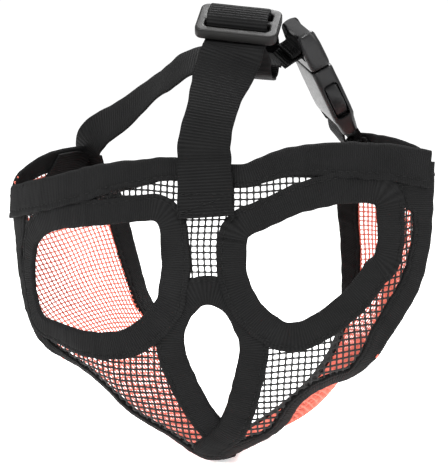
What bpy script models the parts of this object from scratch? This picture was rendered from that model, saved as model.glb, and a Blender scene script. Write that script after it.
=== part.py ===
"""Short-snout mesh muzzle: a soft face mask of net and folded tape, with webbing straps,
a strap slider and a side-release buckle. Blender 4.5, metres, +Z up, face towards -Y.

Places are written in millimetres from the lowest point of the chin, and moved so that the
origin is the middle of the head opening.
"""

import math

import bmesh
import bpy
import numpy as np
from mathutils import Matrix, Vector, geometry

MM = 0.001
HEAD_OPENING = Vector((4, 48, 66)) * MM

# Cloth and webbing, in millimetres
NET_THICKNESS = 0.7
TAPE_THICKNESS = 1.0
TAPE_WIDTH = 11.0
LAYER_GAP = 0.4
WEBBING_THICKNESS = 1.3
HEAD_WEBBING = 25.0
NECK_WEBBING = 20.0

# Offsets of the tapes' middles from the net's middle
LAYER_1 = NET_THICKNESS / 2 + LAYER_GAP + TAPE_THICKNESS / 2
LAYER_2 = LAYER_1 + TAPE_THICKNESS + LAYER_GAP
LAYER_3 = LAYER_2 + TAPE_THICKNESS / 2 + LAYER_GAP + WEBBING_THICKNESS / 2

# The face's middle line, as height and depth
PROFILE = [(-4, -15), (0, -17), (15, -28), (40, -38), (65, -43), (80, -44), (105, -40), (125, -35),
           (140, -31)]
# Half width, depth at the side, and how late the side curls back
LEFT_SIDE = (92, 12, 2.6)
RIGHT_SIDE = (90, -8, 1.9)
# Lower edge of the face, which curls back below the snout
JAW = [(-80, 40), (-70, 46), (-51, 37), (-35, 23), (-18, 12), (-6, 2), (0, 2), (13, 8), (31, 21), (44, 34),
       (56, 40), (68, 46), (80, 40)]
JAW_CURL = 9.0
JAW_REACH = 14.0

# Outlines on the face, as x and height, seen from the front
FACE_LEFT = [(-93, 110), (-90, 95), (-87, 76), (-83, 62), (-78, 53), (-70, 46), (-61, 42), (-51, 37),
             (-43, 31),
             (-35, 23), (-26, 17), (-18, 12), (-11, 5), (-5, 1.5), (2, 0.5)]
FACE_RIGHT = [(2, 0.5), (13, 7), (22, 12), (30, 19), (37, 30), (47, 36), (57, 39), (66, 47), (77, 64),
              (84, 77),
              (88, 97), (89, 121)]
FACE_EDGE = [(-90.9, 99.5)] + FACE_LEFT[1:-1] + FACE_RIGHT[:-1] + [(88.8, 116)]
BROW = [(-92, 113), (-78, 117), (-66, 120), (-48, 125), (-28, 128), (-13, 129), (2, 127.5), (13, 126.5),
        (25, 131),
        (37, 134), (54, 135), (72, 134), (88, 131)]
LEFT_EYE = [(-76, 91), (-68, 97.5), (-53, 101), (-38, 103), (-24, 105), (-18.5, 103), (-17.5, 94),
            (-17, 85), (-19, 74),
            (-26, 65), (-36, 59), (-51, 57.5), (-63, 59), (-73, 61), (-77, 69), (-78, 80)]
RIGHT_EYE = [(16, 97), (18, 100), (27, 104), (39, 109), (53, 111.5), (64, 111.5), (67, 108), (67, 92),
             (63, 87),
             (55, 76.5), (43, 67), (33, 64), (24, 70), (18, 79), (16, 88)]
NOSE = [(10.5, 12), (7.5, 20), (10, 34), (12.5, 46), (14, 56), (9, 68), (2, 72.5), (-4, 69.5), (-9, 59),
        (-7, 47), (-2, 35),
        (3, 25), (8, 17)]

# Free edge of the cheeks, from each corner of the face over the strap's anchor and down the neck side
LEFT_RIM = [(-91, 11, 115), (-87, 15, 121), (-80, 20, 126), (-72, 28, 128.5), (-66, 37, 128), (-61, 43, 119),
            (-51, 46, 106), (-47.5, 48, 92), (-44, 50, 77), (-40, 51, 62), (-32, 52, 46), (-22, 52, 28),
            (-13, 51, 12), (-5, 50, 3), (2.5, 49, 0.5)]
RIGHT_RIM = [(88, -2, 127), (83, 5, 131.5), (74, 13, 134.5), (64, 21, 136), (56, 30, 136), (50, 39, 131),
             (47.5, 44, 119),
             (47, 47, 103), (48.5, 49, 85), (49, 50, 66), (48, 51, 50), (43, 51, 36), (34, 51, 23),
             (20, 50, 10),
             (9, 49, 2.5), (2.5, 49, 0.5)]
LEFT_BULGE = 5.0
RIGHT_BULGE = 6.0
CHIN_GAP = 0.6

# Where the neck strap and the buckle's tab are sewn to the rim: the yoke swings about these
LEFT_ANCHOR = Vector((-67.5, 31.5, 129.5))
RIGHT_ANCHOR = Vector((51.5, 31.5, 137))

# Slider: outer size, bars and place
SLIDER_CENTRE = Vector((9, -7, 182.5))
SLIDER_WIDTH = 34.0
SLIDER_HEIGHT = 20.0
SLIDER_THICKNESS = 4.4
SLIDER_BAR = 3.6
SLIDER_SLOT_WIDTH = 26.6
SLIDER_LONG_AXIS = Vector((0.994, -0.02, -0.105))
SLIDER_LEAN_DEG = 55.0

# Buckle, in its own frame: Z from the socket's web end to the plug, X across the width
BUCKLE_FOOT = Vector((49.5, 29.5, 140))
BUCKLE_HEAD = Vector((31.5, 9, 181))
BUCKLE_FACE = Vector((-0.88, -0.27, -0.40))
BUCKLE_WIDTH = 28.0
BUCKLE_DEPTH = 9.6
SOCKET_LENGTH = 33.0
PLUG_BASE_START = 33.5
PLUG_LENGTH = 12.0
BUCKLE_WEB_SLOT = 21.4
CAVITY_WIDTH = 24.4
CAVITY_DEPTH = 6.0
CAVITY_FLOOR = 8.0
WINDOW = (9.5, 25.5)
GUIDE_WIDTH = 6.0
GUIDE_DEPTH = 3.6
ARM_DEPTH = 4.8
ARM_PIVOT = (8.6, 32.6)
PLUG_WEB = PLUG_BASE_START + PLUG_LENGTH / 2 + 1.3

BLACK_NET = (0.02, 0.02, 0.022)
CORAL = (0.86, 0.17, 0.12)
TAPE = (0.022, 0.022, 0.024)
WEBBING = (0.018, 0.018, 0.019)
PLASTIC = (0.045, 0.045, 0.047)
GREY_PLASTIC = (0.09, 0.085, 0.082)
THREAD = (0.03, 0.03, 0.032)


# ---------------------------------------------------------------- scene and materials

def clear_scene():
    for obj in list(bpy.data.objects):
        bpy.data.objects.remove(obj)


def collection(name):
    made = bpy.data.collections.new(name)
    bpy.context.scene.collection.children.link(made)
    return made


def material(name, colour, roughness):
    made = bpy.data.materials.new(name)
    made.use_nodes = True
    shader = made.node_tree.nodes["Principled BSDF"]
    shader.inputs["Base Color"].default_value = (*colour, 1)
    shader.inputs["Roughness"].default_value = roughness
    shader.inputs["Metallic"].default_value = 0
    return made


def empty(name, place_mm, parent=None):
    made = bpy.data.objects.new(name, None)
    made.empty_display_size = 0.01
    made.location = place_mm * MM - HEAD_OPENING
    PARTS.objects.link(made)
    if parent:
        made.parent = parent
        made.matrix_parent_inverse = Matrix.Translation(-parent.matrix_world.translation)
    bpy.context.view_layer.update()
    return made


def new_object(name, points_mm, faces, colour, roughness, body=None, smooth=True):
    """A mesh object from points in millimetres from the chin, with its origin on its body's axis."""
    pivot = body.matrix_world.translation if body else Vector((0, 0, 0))
    mesh = bpy.data.meshes.new(name)
    mesh.from_pydata([Vector(p) * MM - HEAD_OPENING - pivot for p in points_mm], [], faces)
    if smooth:
        mesh.shade_smooth()
        mesh.set_sharp_from_angle(angle=math.radians(40))
    mesh.materials.append(material(name, colour, roughness))
    made = bpy.data.objects.new(name, mesh)
    PARTS.objects.link(made)
    if body:
        made.parent = body
    return made


def solidify(obj, thickness_mm, even=True):
    thick = obj.modifiers.new("Thickness", "SOLIDIFY")
    thick.thickness = thickness_mm * MM
    thick.offset = 0
    thick.use_even_offset = even
    return obj


# ---------------------------------------------------------------- curves

def smooth_curve(points, count, closed=False):
    """Evenly spaced points on a smooth curve through the given points."""
    p = np.array(points, float)
    n = len(p)
    if closed:
        padded = np.vstack([p[-1], p, p[:2]])
        spans = n
    else:
        padded = np.vstack([2 * p[0] - p[1], p, 2 * p[-1] - p[-2]])
        spans = n - 1
    dense = []
    for i in range(spans):
        a, b, c, d = padded[i:i + 4]
        for t in np.linspace(0, 1, 12, endpoint=False):
            dense.append(0.5 * (2 * b + (c - a) * t + (2 * a - 5 * b + 4 * c - d) * t ** 2
                                + (3 * b - a - 3 * c + d) * t ** 3))
    dense.append(p[0] if closed else p[-1])
    dense = np.array(dense)
    along = np.r_[0, np.cumsum(np.linalg.norm(np.diff(dense, axis=0), axis=1))]
    wanted = np.linspace(0, along[-1], count + 1 if closed else count)
    if closed:
        wanted = wanted[:-1]
    return np.stack([np.interp(wanted, along, dense[:, k]) for k in range(p.shape[1])], axis=1)


def strip_faces(rows, columns, closed=False):
    faces = []
    for i in range(rows if closed else rows - 1):
        for j in range(columns - 1):
            a, b = i * columns + j, (i + 1) % rows * columns + j
            faces.append((a, b, b + 1, a + 1))
    return faces


# ---------------------------------------------------------------- the face's surface

PROFILE_CURVE = smooth_curve(PROFILE, 80)
JAW_CURVE = smooth_curve(JAW, 120)


def face_depth(x, z):
    middle = float(np.interp(z, PROFILE_CURVE[:, 0], PROFILE_CURVE[:, 1]))
    half, side, power = LEFT_SIDE if x < 0 else RIGHT_SIDE
    depth = middle + (side - middle) * min(1.25, abs(x) / half) ** power
    above_jaw = z - float(np.interp(x, JAW_CURVE[:, 0], JAW_CURVE[:, 1]))
    curl = min(1.2, max(0.0, 1 - above_jaw / JAW_REACH)) ** 2
    fade = min(1.0, max(0.0, (78 - abs(x)) / 22))
    return depth + JAW_CURL * curl * fade


def face_point(x, z):
    return Vector((x, face_depth(x, z), z))


def face_normal(x, z):
    """Outward, towards -Y."""
    step = 0.6
    across = face_point(x + step, z) - face_point(x - step, z)
    up = face_point(x, z + step) - face_point(x, z - step)
    return across.cross(up).normalized()


def over_face(x, z, direction, distance):
    """Walks over the face in short steps, and returns the x and height it comes to."""
    steps = max(1, round(abs(distance) / 2))
    for _ in range(steps):
        normal = face_normal(x, z)
        way = (direction - normal * direction.dot(normal)).normalized()
        place = face_point(x, z) + way * (distance / steps)
        x, z = place.x, place.z
    return x, z


def face_tape(name, outline, width, layers, outward, count, closed=False, columns=3):
    """A tape whose edge follows an outline on the face. layers gives its lift at its start and end."""
    path = smooth_curve(outline, count, closed)
    on_face = [face_point(x, z) for x, z in path]
    points = []
    for i, (x, z) in enumerate(path):
        before = on_face[i - 1] if closed or i else on_face[0]
        after = on_face[(i + 1) % count] if closed or i < count - 1 else on_face[-1]
        side = (after - before).normalized().cross(face_normal(x, z)) * outward
        lift = layers(i / (count - 1)) if callable(layers) else layers
        for j in range(columns):
            px, pz = over_face(x, z, side, width * j / (columns - 1)) if j else (x, z)
            points.append(face_point(px, pz) + face_normal(px, pz) * lift)
    tape = new_object(name, points, strip_faces(count, columns, closed), TAPE, 0.8)
    return solidify(tape, TAPE_THICKNESS, even=False)


def nose_lift(along):
    """The right leg of the nose tape crosses over the left one at the chin."""
    return LAYER_2 if along < 0.12 else LAYER_2 + (LAYER_1 - LAYER_2) * min(1, (along - 0.12) / 0.12)


# ---------------------------------------------------------------- net panels

def inside(point, outline):
    """Whether a point lies inside a closed outline, by crossings."""
    x, z = point
    found = False
    for (x0, z0), (x1, z1) in zip(outline, np.roll(outline, -1, axis=0)):
        if (z0 > z) != (z1 > z) and x < (x1 - x0) * (z - z0) / (z1 - z0) + x0:
            found = not found
    return found


def grown(outline, amount):
    """A closed outline moved outwards by amount, or inwards where it is negative."""
    tangent = np.roll(outline, -1, axis=0) - np.roll(outline, 1, axis=0)
    normal = np.stack([tangent[:, 1], -tangent[:, 0]], axis=1)
    normal /= np.linalg.norm(normal, axis=1)[:, None]
    area = np.sum(outline[:, 0] * np.roll(outline[:, 1], -1) - np.roll(outline[:, 0], -1) * outline[:, 1])
    return outline + normal * amount * np.sign(area)


def distance_to(point, outline):
    a, b = outline, np.roll(outline, -1, axis=0)
    along = b - a
    t = np.clip(np.sum((point - a) * along, axis=1) / np.sum(along ** 2, axis=1), 0, 1)
    return float(np.min(np.linalg.norm(point - a - along * t[:, None], axis=1)))


def face_net():
    """The front panel: a bent sheet with three holes, just inside the tapes' edges."""
    edge = np.vstack([smooth_curve(FACE_LEFT, 34)[:-1], smooth_curve(FACE_RIGHT, 34),
                      smooth_curve(BROW, 30)[::-1]])
    outer = grown(edge, -1.3)
    nose_hole = smooth_curve(NOSE[1:-1], 22, closed=True)
    holes = [grown(smooth_curve(LEFT_EYE, 28, closed=True), 1.0),
             grown(smooth_curve(RIGHT_EYE, 28, closed=True), 1.0),
             grown(nose_hole, 1.0)]
    spacing = 8.5
    inner = []
    for row, z in enumerate(np.arange(4, 134, spacing)):
        for x in np.arange(-90 + (row % 2) * spacing / 2, 90, spacing):
            point = np.array([x, z])
            clear = min(distance_to(point, line) for line in [outer, *holes])
            if clear > 3.2 and inside(point, outer) and not any(inside(point, hole) for hole in holes):
                inner.append(point)
    points, edges = [], []
    for line in [outer, *holes]:
        first = len(points)
        points.extend(line)
        edges.extend((first + i, first + (i + 1) % len(line)) for i in range(len(line)))
    points.extend(inner)
    flat, _, faces, *_ = geometry.delaunay_2d_cdt([Vector(p) for p in points], edges, [], 0, 1e-6)
    kept = []
    for face in faces:
        middle = sum((np.array(flat[i]) for i in face), np.zeros(2)) / len(face)
        if inside(middle, outer) and not any(inside(middle, hole) for hole in holes):
            kept.append(tuple(face))
    used = sorted({i for face in kept for i in face})
    index = {old: new for new, old in enumerate(used)}
    kept = [tuple(index[i] for i in face) for face in kept]
    net = new_object("face_net_panel", [face_point(*flat[i]) for i in used], kept, BLACK_NET, 0.7)
    return solidify(net, NET_THICKNESS)


def cheek_surface(front, rim, bulge, rows, columns):
    """Rows of points from the face's edge to the cheek's free edge, bowed outwards."""
    start = smooth_curve(front, rows)
    end = smooth_curve(rim, rows)
    surface = []
    for i in range(rows):
        a = face_point(*start[i]) - face_normal(*start[i]) * (NET_THICKNESS + LAYER_GAP)
        b = Vector(end[i])
        forward = Vector(end[min(i + 1, rows - 1)]) - Vector(end[max(i - 1, 0)])
        out = forward.cross(b - a).normalized()
        if out.dot(Vector((a.x - 2, 0, a.z - 60))) < 0:
            out = -out
        swell = bulge * math.sin(math.pi * min(1, i / (rows - 1) + 0.08))
        for j in range(columns):
            t = j / (columns - 1)
            surface.append(a.lerp(b, t) + out * swell * 4 * t * (1 - t))
    return surface


def cheek_net(name, front, rim, bulge, side):
    rows, columns = 22, 6
    surface = cheek_surface(front, rim, bulge, rows, columns)
    for j in range(columns):
        surface[(rows - 1) * columns + j].x += side * CHIN_GAP
    net = new_object(name, surface, strip_faces(rows, columns), CORAL, 0.6)
    return solidify(net, NET_THICKNESS)


def rim_binding():
    """One tape along the free edge of both cheeks, on their outer side."""
    rows = 40
    left = cheek_surface(FACE_LEFT, LEFT_RIM, LEFT_BULGE, rows, 21)
    right = cheek_surface(FACE_RIGHT[::-1], RIGHT_RIM, RIGHT_BULGE, rows, 21)
    stations = [left[i * 21:(i + 1) * 21] for i in range(1, rows)]
    stations += [right[i * 21:(i + 1) * 21] for i in range(rows - 2, 0, -1)]
    points = []
    for i, station in enumerate(stations):
        before, after = stations[max(i - 1, 0)], stations[min(i + 1, len(stations) - 1)]
        reach = sum((station[k + 1] - station[k]).length for k in range(20))
        width = min(TAPE_WIDTH, 0.72 * reach)
        for j in range(3):
            t = 20 * (1 - width / reach * j / 2)
            k = min(19, int(t))
            place = station[k].lerp(station[k + 1], t - k)
            along = after[k] - before[k]
            out = along.cross(station[k + 1] - station[k]).normalized()
            points.append(place - out * (LAYER_1 + 0.15))
    tape = new_object("neck_rim_binding", points, strip_faces(len(stations), 3), TAPE, 0.8)
    return solidify(tape, TAPE_THICKNESS)


def chin_seam():
    """The tape below the chin, over the seam between the cheeks."""
    start = face_point(2, 0.5)
    end = Vector(LEFT_RIM[-1])
    points = []
    for i in range(8):
        t = 0.1 + 0.62 * i / 7
        for x in (-5, 0, 5):
            place = start.lerp(end, t)
            points.append(place + Vector((x, 0, 0.3 * abs(x) - LAYER_1 - 0.9)))
    tape = new_object("chin_seam_tape", points, strip_faces(8, 3), TAPE, 0.8)
    return solidify(tape, TAPE_THICKNESS)


# ---------------------------------------------------------------- webbing

def webbing(name, path, across, width, rows, body=None, thickness=WEBBING_THICKNESS, colour=WEBBING):
    """A flat strap along a path. across gives the strap's width direction at each point of the path."""
    middle = smooth_curve(path, rows)
    way = smooth_curve([Vector(a).normalized() for a in across], rows)
    points = []
    for i in range(rows):
        tangent = Vector(middle[min(i + 1, rows - 1)] - middle[max(i - 1, 0)]).normalized()
        side = Vector(way[i])
        side = (side - tangent * side.dot(tangent)).normalized()
        for j in (-0.5, 0.0, 0.5):
            points.append(Vector(middle[i]) + side * width * j)
    strap = new_object(name, points, strip_faces(rows, 3), colour, 0.75, body)
    return solidify(strap, thickness)


def on_cheek(name, surface, anchor, width, reach, lift, thickness, colour, columns=21):
    """A patch that lies on a cheek below its free edge. reach: first and last distance from it."""
    rows = len(surface) // columns
    edge = [surface[i * columns + columns - 1] for i in range(rows)]
    nearest = min(range(rows), key=lambda i: (edge[i] - anchor).length)
    along = [0.0]
    for a, b in zip(edge, edge[1:]):
        along.append(along[-1] + (b - a).length)
    chosen = [i for i in range(rows) if abs(along[i] - along[nearest]) <= width / 2]
    points = []
    for i in chosen:
        station = surface[i * columns:(i + 1) * columns]
        length = sum((b - a).length for a, b in zip(station, station[1:]))
        for j in range(4):
            t = (columns - 1) * (1 - (reach[0] + (reach[1] - reach[0]) * j / 3) / length)
            k = min(columns - 2, int(t))
            forward = surface[min(i + 1, rows - 1) * columns + k] - surface[max(i - 1, 0) * columns + k]
            out = forward.cross(station[k + 1] - station[k]).normalized()
            points.append(station[k].lerp(station[k + 1], t - k) - out * lift)
    patch = new_object(name, points, strip_faces(len(chosen), 4), colour, 0.8)
    return solidify(patch, thickness)


def slider_axes():
    """Long axis, height axis and outward normal of the slider."""
    long_axis = SLIDER_LONG_AXIS.normalized()
    lean = math.radians(SLIDER_LEAN_DEG)
    height = Vector((0, math.sin(lean), math.cos(lean)))
    height = (height - long_axis * height.dot(long_axis)).normalized()
    return long_axis, height, long_axis.cross(height).normalized()


def on_slider(height_mm, out_mm):
    _, height, out = slider_axes()
    return SLIDER_CENTRE + height * height_mm + out * out_mm


WEB_BEHIND_BAR = -(SLIDER_THICKNESS / 2 + 0.5 + WEBBING_THICKNESS / 2)


def head_strap():
    """From its sewn end on the forehead up to the slider, under one bar, over the next, under the last."""
    on_forehead = [face_point(x, z) + face_normal(x, z) * LAYER_3 for x,
                   z in ((0.5, 106), (0, 112), (-0.5, 120), (-1, 127))]
    rise = [Vector((-1.5, -38, 135)), Vector((-0.5, -32.5, 146)), Vector((2.5, -25, 157)),
            Vector((6, -18, 167))]
    over = [(-8.6, WEB_BEHIND_BAR), (-6.6, WEB_BEHIND_BAR - 0.1), (-5.15, -2.5), (-4.1, 0), (-2.95, 2.4),
            (-1.5, 3.3), (0, 3.5),
            (1.5, 3.3), (2.95, 2.4), (4.1, 0), (5.15, -2.5), (6.6, WEB_BEHIND_BAR - 0.1),
            (8.6, WEB_BEHIND_BAR)]
    weave = [on_slider(-13, WEB_BEHIND_BAR - 0.3), *[on_slider(h, out) for h, out in over],
             on_slider(11.6, WEB_BEHIND_BAR)]
    path = on_forehead + rise + weave
    across = [Vector((1, 0, 0))] * 5 + [Vector((1, 0.08, -0.02)), Vector((1, 0.05, -0.06)),
                                        Vector((1, 0, -0.09))]
    across += [slider_axes()[0]] * len(weave)
    return webbing("head_strap", path, across, HEAD_WEBBING, 136)


def loop_path():
    """The head strap's way back down from the slider, under the neck strap, and up behind the centre bar."""
    return [on_slider(12.5, WEB_BEHIND_BAR), on_slider(16, WEB_BEHIND_BAR - 0.4), Vector((10.5, 14, 188.5)),
            Vector((10.8, 19.5, 184)), Vector((11, 21.5, 176)), Vector((11, 20.5, 167)),
            Vector((11, 14.5, 160)),
            Vector((10.5, 3.5, 157.5)), Vector((10, -4.5, 160.5)), Vector((10, -7.5, 166)),
            on_slider(-6.4, -7.4),
            on_slider(-2.6, WEB_BEHIND_BAR - 1.0), on_slider(1.8, WEB_BEHIND_BAR - 0.2)]


def head_strap_loop(body):
    path = loop_path()
    return webbing("head_strap_loop", path, [slider_axes()[0]] * len(path), HEAD_WEBBING, 50, body)


def neck_strap(body):
    path = [LEFT_ANCHOR + Vector((0.3, 0, 0.5)), Vector((-65, 31, 131.7)), Vector((-59, 29.5, 136)),
            Vector((-48, 26, 142.3)),
            Vector((-35, 21, 152)), Vector((-24.5, 15, 160)), Vector((-14.5, 9.5, 166)), Vector((-3, 7, 168)),
            Vector((8, 7, 167.5)), Vector((17, 8, 167)), on_buckle(0, 12.8, PLUG_WEB - 0.3)]
    across = [(-0.36, 0.74, 0.56), (-0.36, 0.74, 0.56), (-0.36, 0.77, 0.52), (-0.34, 0.84, 0.42),
              (-0.29, 0.93, 0.2),
              (-0.39, 0.87, 0.3), (-0.3, 0.83, 0.4), (-0.2, 0.85, 0.45), (-0.20, 0.86, 0.42),
              (-0.3, 0.88, 0.34), buckle_axes()[0]]
    return webbing("neck_strap", path, across, NECK_WEBBING, 32, body)


# ---------------------------------------------------------------- hard parts

def box(name, size, centre, hidden=False):
    """A box in millimetres, as an object of the parts or, where hidden, of the cutters."""
    mesh = bpy.data.meshes.new(name)
    shape = bmesh.new()
    bmesh.ops.create_cube(shape, size=1)
    bmesh.ops.scale(shape, vec=Vector(size) * MM, verts=shape.verts)
    bmesh.ops.translate(shape, vec=Vector(centre) * MM, verts=shape.verts)
    shape.to_mesh(mesh)
    shape.free()
    made = bpy.data.objects.new(name, mesh)
    (CUTTERS if hidden else PARTS).objects.link(made)
    if hidden:
        made.hide_render = True
        made.display_type = "WIRE"
    return made


def bevel(obj, width_mm, segments=2, angle=40):
    edge = obj.modifiers.new("Rounded edges", "BEVEL")
    edge.width = width_mm * MM
    edge.segments = segments
    edge.limit_method = "ANGLE"
    edge.angle_limit = math.radians(angle)
    return obj


def cut(obj, cutter, operation="DIFFERENCE"):
    change = obj.modifiers.new(cutter.name, "BOOLEAN")
    change.operation = operation
    change.object = cutter
    return obj


def finish_hard(obj, colour, roughness, frame, body=None):
    """Gives a hard part its material, and puts it where its own frame says."""
    obj.data.materials.append(material(obj.name, colour, roughness))
    for cutter in [m.object for m in obj.modifiers if m.type == "BOOLEAN"]:
        cutter.matrix_world = frame
    if body:
        obj.parent = body
        obj.matrix_parent_inverse = Matrix.Translation(-body.matrix_world.translation)
    obj.matrix_world = frame
    return obj


def frame_at(place_mm, x_axis, y_axis, z_axis):
    turn = Matrix((x_axis, y_axis, z_axis)).transposed().to_4x4()
    return Matrix.Translation(place_mm * MM - HEAD_OPENING) @ turn


def strap_slider(body):
    """Tri-glide in its own frame: X long, Y height, Z outwards."""
    slider = box("strap_slider", (SLIDER_WIDTH, SLIDER_HEIGHT, SLIDER_THICKNESS), (0, 0, 0))
    bevel(slider, 2.2, 3, 80)
    slot = (SLIDER_HEIGHT - 3 * SLIDER_BAR) / 2
    for sign in (-1, 1):
        name = "slider_slot_low" if sign < 0 else "slider_slot_high"
        place = (0, sign * (SLIDER_BAR + slot) / 2, 0)
        cut(slider, bevel(box(name, (SLIDER_SLOT_WIDTH, slot, 3 * SLIDER_THICKNESS), place, hidden=True),
                          0.6, 1))
    long_axis, height, out = slider_axes()
    return finish_hard(slider, GREY_PLASTIC, 0.35, frame_at(SLIDER_CENTRE, long_axis, height, out), body)


def buckle_axes():
    z_axis = (BUCKLE_HEAD - BUCKLE_FOOT).normalized()
    y_axis = (BUCKLE_FACE - z_axis * BUCKLE_FACE.dot(z_axis)).normalized()
    return y_axis.cross(z_axis).normalized(), y_axis, z_axis


def on_buckle(x, y, z):
    x_axis, y_axis, z_axis = buckle_axes()
    return BUCKLE_FOOT + x_axis * x + y_axis * y + z_axis * z


def buckle_frame():
    return frame_at(BUCKLE_FOOT, *buckle_axes())


def buckle_socket(body):
    socket = box("buckle_socket", (BUCKLE_WIDTH, BUCKLE_DEPTH, SOCKET_LENGTH), (0, 0, SOCKET_LENGTH / 2))
    bevel(socket, 1.8, 3, 60)
    depth = SOCKET_LENGTH - CAVITY_FLOOR
    cut(socket, box("socket_cavity", (CAVITY_WIDTH, CAVITY_DEPTH, depth + 4),
                    (0, 0, CAVITY_FLOOR + depth / 2 + 2), True))
    low, high = WINDOW
    cut(socket, box("socket_windows", (BUCKLE_WIDTH + 8, CAVITY_DEPTH, high - low),
                    (0, 0, (low + high) / 2), True))
    cut(socket, box("socket_web_slot", (BUCKLE_WEB_SLOT, BUCKLE_DEPTH + 6, 3.6), (0, 0, 4.6), True))
    for sign in (-1, 1):
        name = "socket_recess_front" if sign > 0 else "socket_recess_back"
        cut(socket, box(name, (BUCKLE_WEB_SLOT, 6, 8), (0, sign * 4.7, -1.2), True))
    return finish_hard(socket, PLASTIC, 0.4, buckle_frame(), body)


def buckle_plug(body):
    middle = PLUG_BASE_START + PLUG_LENGTH / 2
    plug = box("buckle_plug", (BUCKLE_WIDTH, BUCKLE_DEPTH - 0.6, PLUG_LENGTH), (0, 0, middle))
    bevel(plug, 1.8, 3, 60)
    guide_end = 13.0
    guide = box("plug_guide", (GUIDE_WIDTH, GUIDE_DEPTH, PLUG_BASE_START + 2 - guide_end),
                (0, 0, (PLUG_BASE_START + 2 + guide_end) / 2), True)
    cut(plug, guide, "UNION")
    cut(plug, box("plug_web_slot", (BUCKLE_WEB_SLOT, BUCKLE_DEPTH + 6, 3.6), (0, 0, middle + 0.6), True))
    for sign in (-1, 1):
        name = "plug_recess_front" if sign > 0 else "plug_recess_back"
        cut(plug, box(name, (BUCKLE_WEB_SLOT, 6, 12), (0, sign * 4.7, PLUG_BASE_START + PLUG_LENGTH + 0.5),
                      True))
    for sign in (-1, 1):
        name = "plug_arm_notch_right" if sign > 0 else "plug_arm_notch_left"
        cut(plug, box(name, (5.6, CAVITY_DEPTH, 3.2), (sign * ARM_PIVOT[0], 0, PLUG_BASE_START - 0.2), True))
    return finish_hard(plug, PLASTIC, 0.4, buckle_frame(), body)


def latch_arm(name, sign, body):
    """A sprung arm with its release pad, drawn flat across the buckle's width and extruded."""
    outline = [(6.4, 34.6), (6.4, 31), (9.4, 27), (10.6, 23.6), (11.0, 16), (9.6, 9.2), (11.2, 8.8),
               (13.4, 12.2),
               (14.2, 15.5), (14.5, 18.5), (14.2, 21.8), (13.4, 24.6), (12.0, 25.0), (11.6, 28.5),
               (10.8, 31), (10.8, 34.6)]
    curve = bpy.data.curves.new(name, "CURVE")
    curve.dimensions = "2D"
    curve.fill_mode = "BOTH"
    curve.extrude = ARM_DEPTH / 2 * MM
    line = curve.splines.new("POLY")
    line.points.add(len(outline) - 1)
    line.use_cyclic_u = True
    for point, (x, z) in zip(line.points, outline):
        point.co = (sign * (x - ARM_PIVOT[0]) * MM, (z - ARM_PIVOT[1]) * MM, 0, 1)
    flat = bpy.data.objects.new(name + "_outline", curve)
    CUTTERS.objects.link(flat)
    flat.hide_render = True
    mesh = bpy.data.meshes.new_from_object(flat.evaluated_get(bpy.context.evaluated_depsgraph_get()))
    bpy.data.objects.remove(flat)
    shape = bmesh.new()
    shape.from_mesh(mesh)
    bmesh.ops.remove_doubles(shape, verts=shape.verts, dist=1e-6)
    bmesh.ops.recalc_face_normals(shape, faces=shape.faces)
    shape.to_mesh(mesh)
    shape.free()
    mesh.materials.append(material(name, PLASTIC, 0.4))
    arm = bpy.data.objects.new(name, mesh)
    PARTS.objects.link(arm)
    x_axis, y_axis, z_axis = buckle_axes()
    pivot = on_buckle(sign * ARM_PIVOT[0], 0, ARM_PIVOT[1])
    arm.parent = body
    arm.matrix_parent_inverse = Matrix.Translation(-body.matrix_world.translation)
    arm.matrix_world = frame_at(pivot, x_axis, z_axis, -y_axis)
    return arm


def web_round_bar(first, bar_z, out_sign, lead):
    """A webbing path in the buckle's frame, through a slot and round the bar next to it."""
    reach = 2.9
    return [first, on_buckle(0, reach + 0.6, bar_z - out_sign * lead),
            on_buckle(0, reach, bar_z - out_sign * 0.5),
            on_buckle(0, reach - 0.9, bar_z + out_sign * 2.7), on_buckle(0, 0, bar_z + out_sign * 3.4),
            on_buckle(0, -reach + 0.9, bar_z + out_sign * 2.7), on_buckle(0, -reach, bar_z - out_sign * 0.5),
            on_buckle(0, -reach - 0.6, bar_z - out_sign * lead)]


def socket_tab(body):
    """Doubled webbing from the right anchor through the socket's slot."""
    x_axis = buckle_axes()[0]
    path = web_round_bar(on_buckle(0, 3.0, -6.0), 1.3, 1, 4.5) + [on_buckle(0, -3.0, -6.0)]
    return webbing("socket_tab", path, [x_axis] * len(path), NECK_WEBBING, 26, body)


def neck_strap_tail(body):
    """The neck strap's end: from beside the head strap's loop round the plug's outer bar, and folded back."""
    wrap = [(11, -0.2), (8, 0), (5, 0), (2.2, -0.1), (-1.4, -0.2), (-2.95, 1.0), (-3.1, 2.9), (-2.4, 5.4),
            (0, 6.3), (2.5, 5.2),
            (3.8, 3.1), (5.6, 2.1), (9, 1.9)]
    path = [on_buckle(0, y, PLUG_WEB + z) for y, z in wrap]
    webbing("neck_strap_tail", path, [buckle_axes()[0]] * len(path), NECK_WEBBING, 56, body)
    stitched = [on_buckle(0, y, PLUG_WEB + 3.15) for y in (6.3, 7.6, 8.9)]
    webbing("tail_tack", stitched, [buckle_axes()[0]] * 3, 14, 3, body, 0.5, THREAD)


def forehead_tack():
    path = [face_point(0.3, z) + face_normal(0.3, z) * (LAYER_3 + 1.3) for z in (107.5, 110, 112.5, 115)]
    webbing("forehead_box_stitch", path, [Vector((1, 0, 0))] * 4, 18, 5, None, 0.5, THREAD)


def loop_tack(body):
    path = [on_slider(height, WEB_BEHIND_BAR - 1.75) for height in (-1.4, 0, 1.4)]
    webbing("sewn_end_tack", path, [slider_axes()[0]] * 3, 20, 3, body, 0.5, THREAD)


# ---------------------------------------------------------------- assembly

clear_scene()
PARTS = collection("mesh_muzzle")
CUTTERS = collection("cutters")

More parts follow.
